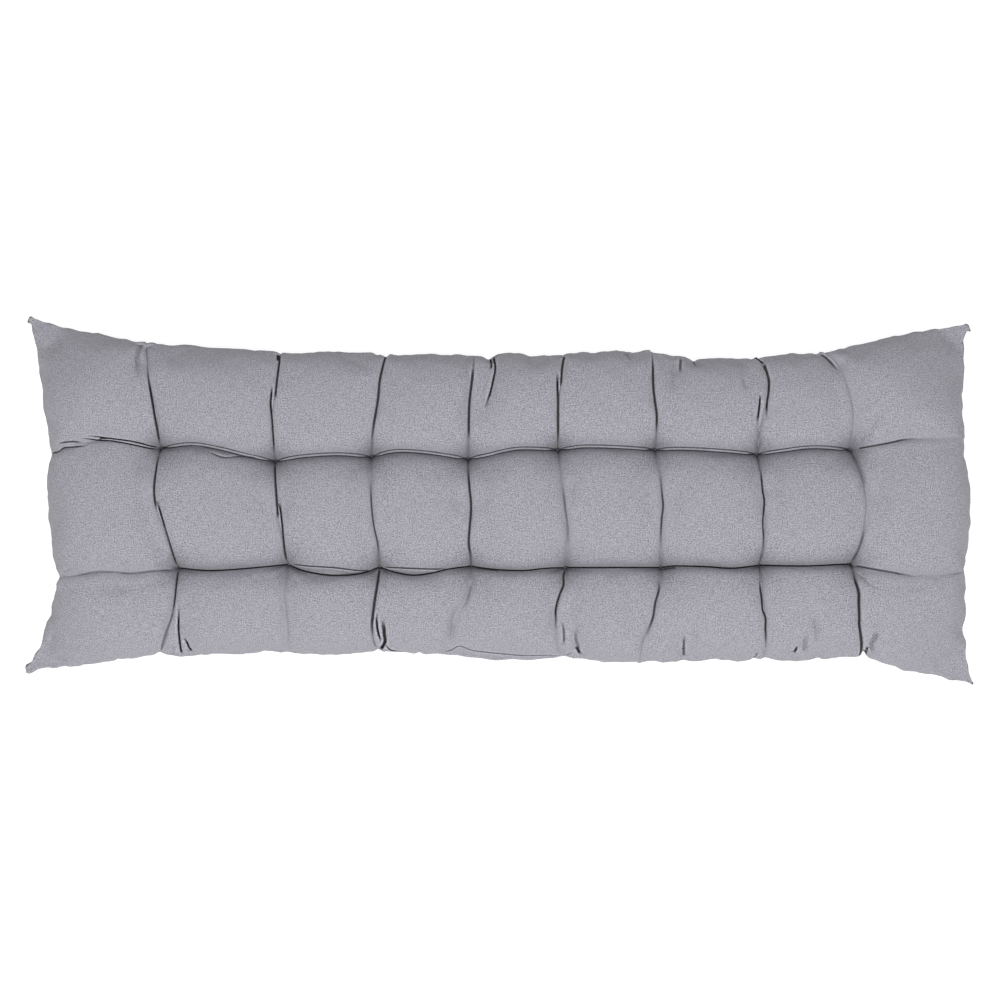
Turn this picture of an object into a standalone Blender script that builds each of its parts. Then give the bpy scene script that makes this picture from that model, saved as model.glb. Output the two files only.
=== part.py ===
"""Tufted bench cushion, lying on its back.

Two panels of cloth are sewn face to face round a knife edge, filled, and drawn together by two rows
of blind tufts. The tufts pull channels along the cushion and pleats across it, and the pads between
them swell. The solid is the filled form: a crowned face above the seam, and below it an underside
that is flat where each pad rests.

Metres, +Z up, +X along the bench, origin at the centre of the base.
"""

from collections import namedtuple
from math import pi, sin, sqrt

import bmesh
import bpy
from mathutils import Vector, noise

# Heights
SEAM_HEIGHT = 0.033
CORNER_SEAM_HEIGHT = 0.012
OUTER_CROWN = 0.041
MIDDLE_CROWN = 0.050

# Each panel: the reach of its rounding beside the seam and of the dip beside a crease, and how much
# of a crease's depth it takes
Panel = namedtuple("Panel", "rounding dip_reach depth_share")
FACE = Panel(rounding=0.062, dip_reach=0.060, depth_share=1.0)
UNDERSIDE = Panel(rounding=0.050, dip_reach=0.030, depth_share=0.45)
EAR_REACH = 0.130

# How deep a crease cuts into the crown, as a share: at a tuft, between two tufts, and at the seam.
# A flatness under 1 keeps it at the depth between for most of the way.
CHANNEL_DEPTH = {"tuft": 0.70, "between": 0.36, "seam": 0.26}
PLEAT_DEPTH = {"tuft": 0.70, "between": 0.32, "seam": 0.40}
DEPTH_FLATNESS = 0.7

# The sharp line along the middle of a crease, as a share of the crown, and its width
LINE_DEPTH = 0.17
LINE_WIDTH = 0.006

# How much the filling varies, as a share of the crown, and how often in a metre
UNEVENNESS = 0.12
UNEVEN_PER_METRE = 8

# Face divisions between one crease and the next, and how much they crowd towards the creases
DIVISIONS_ALONG = 8
DIVISIONS_ACROSS = 9
END_DIVISIONS = 10
CROWDING = 0.62

CLOTH_COLOUR = (0.37, 0.365, 0.40, 1)
CLOTH_ROUGHNESS = 0.9

# The lines that cross the cushion, from its left end to its right one: where each leaves the top
# seam, crosses the two rows of tufts and meets the bottom seam, and how far it bows to the right
# in between. The first and the last are the end seams.
CrossLine = namedtuple("CrossLine", "top upper lower bottom top_bow middle_bow bottom_bow")
CROSS_LINES = (
    CrossLine((-0.599, 0.233), (-0.571, 0.060), (-0.561, -0.096), (-0.602, -0.217), 0.002, -0.008, 0.005),
    CrossLine((-0.447, 0.199), (-0.432, 0.066), (-0.409, -0.087), (-0.430, -0.197), -0.003, -0.016, 0.006),
    CrossLine((-0.277, 0.187), (-0.286, 0.049), (-0.269, -0.083), (-0.268, -0.194), -0.009, -0.003, -0.006),
    CrossLine((-0.143, 0.185), (-0.163, 0.055), (-0.152, -0.086), (-0.146, -0.193), -0.003, -0.004, -0.009),
    CrossLine((-0.032, 0.183), (-0.039, 0.052), (-0.035, -0.085), (-0.062, -0.195), 0.000, 0.002, 0.004),
    CrossLine((0.083, 0.185), (0.076, 0.064), (0.086, -0.087), (0.085, -0.200), -0.005, 0.005, -0.012),
    CrossLine((0.196, 0.188), (0.200, 0.064), (0.208, -0.087), (0.184, -0.206), 0.002, 0.007, 0.001),
    CrossLine((0.327, 0.182), (0.331, 0.058), (0.333, -0.084), (0.340, -0.204), 0.010, 0.006, 0.001),
    CrossLine((0.436, 0.192), (0.450, 0.064), (0.450, -0.082), (0.463, -0.199), 0.008, 0.019, 0.003),
    CrossLine((0.598, 0.224), (0.594, 0.057), (0.594, -0.073), (0.602, -0.233), -0.002, 0.008, -0.002),
)

# The stretches between those lines: how far the two seams swell outwards, and how far each channel
# bows towards the top seam.
Stretch = namedtuple("Stretch", "top_swell upper_bow lower_bow bottom_swell")
STRETCHES = (
    Stretch(-0.003, 0.015, -0.003, 0.003),
    Stretch(0.001, 0.008, -0.005, 0.002),
    Stretch(0.002, 0.006, -0.006, 0.005),
    Stretch(0.001, 0.007, -0.006, 0.003),
    Stretch(0.001, 0.006, -0.005, 0.004),
    Stretch(0.003, 0.005, 0.000, 0.004),
    Stretch(-0.005, 0.003, 0.000, 0.000),
    Stretch(-0.001, 0.005, 0.000, 0.002),
    Stretch(0.003, 0.016, -0.017, 0.004),
)

# The shorter folds of the face, each from its start on a pad to where it runs out beside a seam
Fold = namedtuple("Fold", "start end depth")
FOLDS = (
    Fold((-0.458, 0.140), (-0.455, 0.199), 0.010),
    Fold((-0.024, 0.092), (-0.005, 0.184), 0.015),
    Fold((0.222, 0.130), (0.216, 0.184), 0.010),
    Fold((0.441, 0.140), (0.406, 0.188), 0.010),
    Fold((-0.410, -0.114), (-0.402, -0.197), 0.012),
    Fold((0.094, -0.120), (0.103, -0.202), 0.014),
    Fold((0.236, -0.154), (0.235, -0.206), 0.010),
    Fold((0.477, -0.138), (0.470, -0.200), 0.012),
)
FOLD_REACH = 0.014
FOLD_SNAP = 0.002

# The lines that run along the cushion, as positions on a cross line
ROWS = ("bottom", "lower", "upper", "top")


def bow(share):
    """How much of its bow a line has, a share of the way along a stretch."""
    return 4 * share * (1 - share)


def crowded(share):
    """A share of a stretch, moved towards its ends so that the faces are finest at the creases."""
    return share - CROWDING * sin(2 * pi * share) / (2 * pi)


def cross_point(line, row, share):
    """A point of a cross line, a share of the way from one row up to the next."""
    low = Vector(getattr(line, ROWS[row]))
    high = Vector(getattr(line, ROWS[row + 1]))
    sideways = (line.bottom_bow, line.middle_bow, line.top_bow)[row]
    return low.lerp(high, share) + Vector((sideways * bow(share), 0))


def along_point(row, stretch, share):
    """A point of a row's line, a share of the way from one cross line to the next."""
    left = Vector(getattr(CROSS_LINES[stretch], ROWS[row]))
    right = Vector(getattr(CROSS_LINES[stretch + 1], ROWS[row]))
    shape = STRETCHES[stretch]
    upwards = (-shape.bottom_swell, shape.lower_bow, shape.upper_bow, shape.top_swell)[row]
    return left.lerp(right, share) + Vector((0, upwards * bow(share)))


def pad_point(stretch, row, along, across):
    """A point of the pad between two cross lines and two rows, blended from its four edges."""
    low = along_point(row, stretch, along)
    high = along_point(row + 1, stretch, along)
    left = cross_point(CROSS_LINES[stretch], row, across)
    right = cross_point(CROSS_LINES[stretch + 1], row, across)
    low_corners = along_point(row, stretch, 0).lerp(along_point(row, stretch, 1), along)
    high_corners = along_point(row + 1, stretch, 0).lerp(along_point(row + 1, stretch, 1), along)
    return low.lerp(high, across) + left.lerp(right, along) - low_corners.lerp(high_corners, across)


def swell(distance, reach):
    """A quarter round: 0 at a crease or seam, 1 from its reach on."""
    if distance >= reach:
        return 1.0
    return sqrt(1 - (1 - distance / reach) ** 2)


def crease_depth(depths, share, starts_at_seam, ends_at_seam):
    """The depth of a crease a share of the way along it, between tufts or between a tuft and the seam."""
    start = depths["seam"] if starts_at_seam else depths["tuft"]
    end = depths["seam"] if ends_at_seam else depths["tuft"]
    level = start + (end - start) * share
    return level + (depths["between"] - level) * bow(share) ** DEPTH_FLATNESS


def ear_fullness(point):
    """0 at the tip of a corner ear, rising smoothly to 1 at its reach."""
    tips = [Vector(getattr(CROSS_LINES[end], row)) for end in (0, -1) for row in ("top", "bottom")]
    share = min(1, min((point - tip).length for tip in tips) / EAR_REACH)
    return share**2 * (3 - 2 * share)


def pad_fullness(panel, stretch, row, along, across):
    """How far a panel stands off the seam's level at a point of a pad, from 0 to 1."""
    point = pad_point(stretch, row, along, across)
    last_stretch = len(STRETCHES) - 1
    last_row = len(ROWS) - 2
    pleat = crease_depth(PLEAT_DEPTH, across, row == 0, row == last_row)
    channel = crease_depth(CHANNEL_DEPTH, along, stretch == 0, stretch == last_stretch)
    edges = (
        (pad_point(stretch, row, 0, across), stretch == 0, pleat),
        (pad_point(stretch, row, 1, across), stretch == last_stretch, pleat),
        (pad_point(stretch, row, along, 0), row == 0, channel),
        (pad_point(stretch, row, along, 1), row == last_row, channel),
    )
    fullness = ear_fullness(point)
    for edge, is_seam, depth in edges:
        distance = (point - edge).length
        if is_seam:
            fullness *= swell(distance, panel.rounding)
        else:
            dip = depth * (1 - swell(distance, panel.dip_reach))
            line = LINE_DEPTH * max(0, 1 - distance / LINE_WIDTH)
            fullness *= 1 - panel.depth_share * (dip + line)
    return fullness


def seam_height(point):
    """The seam's height, lower at the corner ears."""
    return CORNER_SEAM_HEIGHT + (SEAM_HEIGHT - CORNER_SEAM_HEIGHT) * ear_fullness(point)


def face_height(stretch, row, along, across, point):
    """The height of the crowned face."""
    middle = sin(pi * (row + across) / (len(ROWS) - 1)) ** 2
    crown = OUTER_CROWN + (MIDDLE_CROWN - OUTER_CROWN) * middle
    crown *= 1 + UNEVENNESS * noise.noise(point.to_3d() * UNEVEN_PER_METRE)
    return seam_height(point) + crown * pad_fullness(FACE, stretch, row, along, across)


def underside_height(stretch, row, along, across, point):
    """The height of the underside, 0 where a pad rests."""
    return seam_height(point) * (1 - pad_fullness(UNDERSIDE, stretch, row, along, across))


def stations(divisions):
    """(stretch, share) for each grid line in one direction, given each stretch's divisions."""
    found = []
    for stretch, count in enumerate(divisions):
        found += [(stretch, crowded(step / count)) for step in range(count)]
    return found + [(len(divisions) - 1, 1.0)]


def add_panel(shape, columns, rows, height, seam, facing_up):
    """Adds one panel's grid of faces; points on the seam are shared with the other panel."""
    grid = {}
    for i, (stretch, along) in enumerate(columns):
        for j, (row, across) in enumerate(rows):
            on_seam = i in (0, len(columns) - 1) or j in (0, len(rows) - 1)
            if on_seam and (i, j) in seam:
                grid[i, j] = seam[i, j]
                continue
            point = pad_point(stretch, row, along, across)
            level = seam_height(point) if on_seam else height(stretch, row, along, across, point)
            grid[i, j] = shape.verts.new((point.x, point.y, level))
            if on_seam:
                seam[i, j] = grid[i, j]
    for i in range(len(columns) - 1):
        for j in range(len(rows) - 1):
            corners = [grid[i, j], grid[i + 1, j], grid[i + 1, j + 1], grid[i, j + 1]]
            shape.faces.new(corners if facing_up else corners[::-1])


def press_fold(shape, fold, seam):
    """Cuts the face panel along a fold and presses it in, deepest on the cut."""
    start = Vector(fold.start)
    length = (Vector(fold.end) - start).length
    along = (Vector(fold.end) - start) / length
    sideways = along.orthogonal()

    def place(point):
        """How far a point lies along the fold, as a share of its length, and to its side."""
        offset = point.to_2d() - start
        return offset.dot(along) / length, abs(offset.dot(sideways))

    def is_beside(face):
        share, side = place(face.calc_center_median())
        return 0 < share < 1 and side < 2 * FOLD_REACH and not seam.intersection(face.verts)

    faces = [face for face in shape.faces if is_beside(face)]
    edges = {edge for face in faces for edge in face.edges}
    points = {point for face in faces for point in face.verts}
    bmesh.ops.bisect_plane(
        shape,
        geom=[*faces, *edges, *points],
        dist=FOLD_SNAP,
        plane_co=start.to_3d(),
        plane_no=sideways.to_3d(),
        use_snap_center=True,
    )
    for point in shape.verts:
        share, side = place(point.co)
        if 0 < share < 1 and side < FOLD_REACH and point not in seam:
            point.co.z -= fold.depth * sqrt(bow(share)) * (1 - side / FOLD_REACH)


def make_cushion():
    """The filled cushion as one closed mesh."""
    inner = [DIVISIONS_ALONG] * (len(STRETCHES) - 2)
    columns = stations([END_DIVISIONS, *inner, END_DIVISIONS])
    rows = stations([DIVISIONS_ACROSS] * (len(ROWS) - 1))
    shape = bmesh.new()
    seam = {}
    add_panel(shape, columns, rows, face_height, seam, True)
    for fold in FOLDS:
        press_fold(shape, fold, set(seam.values()))
    add_panel(shape, columns, rows, underside_height, seam, False)
    mesh = bpy.data.meshes.new("cushion")
    shape.to_mesh(mesh)
    shape.free()
    mesh.shade_smooth()
    cushion = bpy.data.objects.new("cushion", mesh)
    bpy.context.scene.collection.objects.link(cushion)
    return cushion


def cloth_material():
    """Plain-woven cloth in light grey with a lilac tint."""
    material = bpy.data.materials.new("grey cloth")
    material.use_nodes = True
    shader = material.node_tree.nodes["Principled BSDF"]
    shader.inputs["Base Color"].default_value = CLOTH_COLOUR
    shader.inputs["Roughness"].default_value = CLOTH_ROUGHNESS
    shader.inputs["Metallic"].default_value = 0
    return material


def main():
    for thing in list(bpy.data.objects):
        bpy.data.objects.remove(thing)
    cushion = make_cushion()
    cushion.data.materials.append(cloth_material())


main()
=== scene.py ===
"""Tufted bench cushion: the cloth cover over its filled solid, the tuft knots, the seams and a studio.

Metres, +Z up. The cushion lies on its back with its face up, its length along X and its closing seam
towards -Y.
"""

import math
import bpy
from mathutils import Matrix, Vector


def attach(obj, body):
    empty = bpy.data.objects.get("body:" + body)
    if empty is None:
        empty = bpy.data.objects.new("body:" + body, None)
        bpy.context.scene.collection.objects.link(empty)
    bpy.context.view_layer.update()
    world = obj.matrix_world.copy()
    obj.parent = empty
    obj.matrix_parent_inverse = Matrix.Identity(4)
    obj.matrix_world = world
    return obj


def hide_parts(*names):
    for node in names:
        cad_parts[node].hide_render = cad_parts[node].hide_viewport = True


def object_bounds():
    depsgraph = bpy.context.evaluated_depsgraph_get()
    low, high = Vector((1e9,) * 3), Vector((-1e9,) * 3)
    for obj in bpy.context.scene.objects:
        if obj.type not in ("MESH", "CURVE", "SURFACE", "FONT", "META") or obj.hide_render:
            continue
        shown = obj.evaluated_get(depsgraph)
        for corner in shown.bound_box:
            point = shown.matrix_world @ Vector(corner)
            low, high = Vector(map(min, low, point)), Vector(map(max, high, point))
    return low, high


bl_info = {
    "name": "Tufted Bench Cushion",
    "version": (1, 0, 0),
    "blender": (4, 5, 0),
    "location": "3D View > Sidebar > Cushion",
    "description": "Makes a filled bench cushion in plain-woven cloth, drawn in by blind tufts",
    "category": "Add Mesh",
}

from collections import namedtuple

import bmesh
import bpy
import numpy as np
from bpy.props import FloatProperty, FloatVectorProperty, IntProperty, PointerProperty
from mathutils import Vector, noise
from mathutils.bvhtree import BVHTree
from mathutils.kdtree import KDTree

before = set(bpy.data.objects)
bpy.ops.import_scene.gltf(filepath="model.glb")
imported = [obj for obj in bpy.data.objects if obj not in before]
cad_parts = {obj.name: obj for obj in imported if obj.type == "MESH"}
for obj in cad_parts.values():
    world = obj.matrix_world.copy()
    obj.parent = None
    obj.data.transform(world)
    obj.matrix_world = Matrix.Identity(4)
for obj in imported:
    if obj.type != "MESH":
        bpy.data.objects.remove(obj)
SOLID_LOW, SOLID_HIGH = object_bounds()
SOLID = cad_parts["cushion"]

# The two rows of tufts, from left to right
UPPER_TUFTS = (
    (-0.432, 0.066),
    (-0.286, 0.049),
    (-0.163, 0.055),
    (-0.039, 0.052),
    (0.076, 0.064),
    (0.200, 0.064),
    (0.331, 0.058),
    (0.450, 0.064),
)
LOWER_TUFTS = (
    (-0.409, -0.087),
    (-0.269, -0.083),
    (-0.152, -0.086),
    (-0.035, -0.085),
    (0.086, -0.087),
    (0.208, -0.087),
    (0.333, -0.084),
    (0.450, -0.082),
)
TUFTS = UPPER_TUFTS + LOWER_TUFTS

# The channels that run from tuft to tuft along each row
UPPER_CHANNELS = (
    ((-0.432, 0.066), (-0.394, 0.071), (-0.359, 0.066), (-0.323, 0.057), (-0.286, 0.049)),
    ((-0.286, 0.049), (-0.254, 0.055), (-0.208, 0.058), (-0.163, 0.055)),
    ((-0.163, 0.055), (-0.132, 0.062), (-0.090, 0.060), (-0.039, 0.052)),
    ((-0.039, 0.052), (-0.015, 0.057), (0.024, 0.065), (0.076, 0.064)),
    ((0.076, 0.064), (0.111, 0.068), (0.155, 0.067), (0.200, 0.064)),
    ((0.200, 0.064), (0.234, 0.065), (0.278, 0.063), (0.331, 0.058)),
    ((0.331, 0.058), (0.366, 0.063), (0.403, 0.067), (0.450, 0.064)),
)
LOWER_CHANNELS = (
    ((-0.409, -0.087), (-0.374, -0.091), (-0.332, -0.089), (-0.269, -0.083)),
    ((-0.269, -0.083), (-0.251, -0.091), (-0.215, -0.097), (-0.178, -0.095), (-0.152, -0.086)),
    ((-0.152, -0.086), (-0.133, -0.093), (-0.109, -0.097), (-0.085, -0.094), (-0.064, -0.089), (-0.035, -0.085)),
    ((-0.035, -0.085), (-0.011, -0.089), (0.029, -0.091), (0.060, -0.088), (0.086, -0.087)),
    ((0.086, -0.087), (0.147, -0.087), (0.208, -0.087)),
    ((0.208, -0.087), (0.227, -0.085), (0.265, -0.086), (0.300, -0.088), (0.333, -0.084)),
    ((0.333, -0.084), (0.392, -0.085), (0.450, -0.082)),
)

# The pleats that run from the tufts to the seam and to the next row: how far the pads close over each, as
# a share, and its route on the face
Pleat = namedtuple("Pleat", "closing route")
PLEATS = (
    # From the upper tufts to the top seam
    Pleat(0.85, ((-0.432, 0.066), (-0.436, 0.101), (-0.441, 0.129), (-0.445, 0.156), (-0.448, 0.198))),
    Pleat(0.90, ((-0.286, 0.049), (-0.289, 0.100), (-0.287, 0.126), (-0.282, 0.156), (-0.279, 0.185))),
    Pleat(0.90, ((-0.163, 0.055), (-0.159, 0.097), (-0.154, 0.128), (-0.151, 0.154), (-0.143, 0.185))),
    Pleat(0.90, ((-0.039, 0.052), (-0.038, 0.102), (-0.036, 0.130), (-0.032, 0.169), (-0.031, 0.182))),
    Pleat(0.90, ((0.076, 0.064), (0.076, 0.102), (0.077, 0.132), (0.080, 0.160), (0.083, 0.184))),
    Pleat(0.90, ((0.200, 0.064), (0.202, 0.101), (0.199, 0.132), (0.195, 0.187))),
    Pleat(0.85, ((0.331, 0.058), (0.333, 0.086), (0.340, 0.115), (0.345, 0.140), (0.342, 0.162), (0.331, 0.180))),
    Pleat(0.30, ((0.450, 0.064), (0.454, 0.101), (0.452, 0.123), (0.446, 0.145), (0.434, 0.168), (0.415, 0.186))),
    # From tuft to tuft
    Pleat(0.90, ((-0.432, 0.066), (-0.437, 0.036), (-0.438, 0.006), (-0.431, -0.025), (-0.420, -0.051), (-0.409, -0.087))),
    Pleat(0.90, ((-0.286, 0.049), (-0.284, 0.013), (-0.281, -0.014), (-0.273, -0.065), (-0.269, -0.083))),
    Pleat(0.60, ((-0.163, 0.055), (-0.162, -0.004), (-0.159, -0.032), (-0.154, -0.057), (-0.152, -0.086))),
    Pleat(0.90, ((-0.039, 0.052), (-0.037, 0.015), (-0.035, -0.012), (-0.038, -0.053), (-0.035, -0.085))),
    Pleat(0.45, ((0.076, 0.064), (0.081, 0.025), (0.085, -0.011), (0.088, -0.046), (0.086, -0.087))),
    Pleat(0.65, ((0.200, 0.064), (0.207, 0.026), (0.209, -0.008), (0.207, -0.049), (0.208, -0.087))),
    Pleat(0.80, ((0.331, 0.058), (0.336, 0.018), (0.339, -0.003), (0.338, -0.052), (0.333, -0.084))),
    Pleat(0.55, ((0.450, 0.064), (0.466, 0.022), (0.469, -0.010), (0.463, -0.048), (0.450, -0.082))),
    # From the lower tufts to the bottom seam
    Pleat(0.70, ((-0.409, -0.087), (-0.412, -0.113), (-0.417, -0.150), (-0.425, -0.181), (-0.431, -0.197))),
    Pleat(0.20, ((-0.269, -0.083), (-0.275, -0.115), (-0.273, -0.143), (-0.268, -0.194))),
    Pleat(0.85, ((-0.152, -0.086), (-0.158, -0.129), (-0.161, -0.158), (-0.158, -0.182), (-0.152, -0.192))),
    Pleat(0.25, ((-0.035, -0.085), (-0.040, -0.125), (-0.058, -0.148), (-0.062, -0.193))),
    Pleat(0.70, ((0.086, -0.087), (0.082, -0.109), (0.074, -0.142), (0.073, -0.165), (0.078, -0.200))),
    Pleat(0.60, ((0.208, -0.087), (0.204, -0.115), (0.197, -0.149), (0.184, -0.181), (0.180, -0.206))),
    Pleat(0.75, ((0.333, -0.084), (0.337, -0.127), (0.340, -0.152), (0.338, -0.188), (0.335, -0.204))),
    Pleat(0.90, ((0.450, -0.082), (0.460, -0.119), (0.459, -0.158), (0.461, -0.183), (0.463, -0.197))),
    # Towards the two ends
    Pleat(0.30, ((-0.432, 0.066), (-0.469, 0.074), (-0.505, 0.075), (-0.540, 0.070), (-0.568, 0.060))),
    Pleat(0.30, ((-0.409, -0.087), (-0.440, -0.091), (-0.469, -0.094), (-0.514, -0.093), (-0.558, -0.098))),
    Pleat(0.30, ((0.450, 0.064), (0.475, 0.068), (0.515, 0.076), (0.545, 0.079), (0.592, 0.081))),
    Pleat(0.30, ((0.450, -0.082), (0.475, -0.088), (0.514, -0.095), (0.552, -0.096), (0.594, -0.093))),
)

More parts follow.
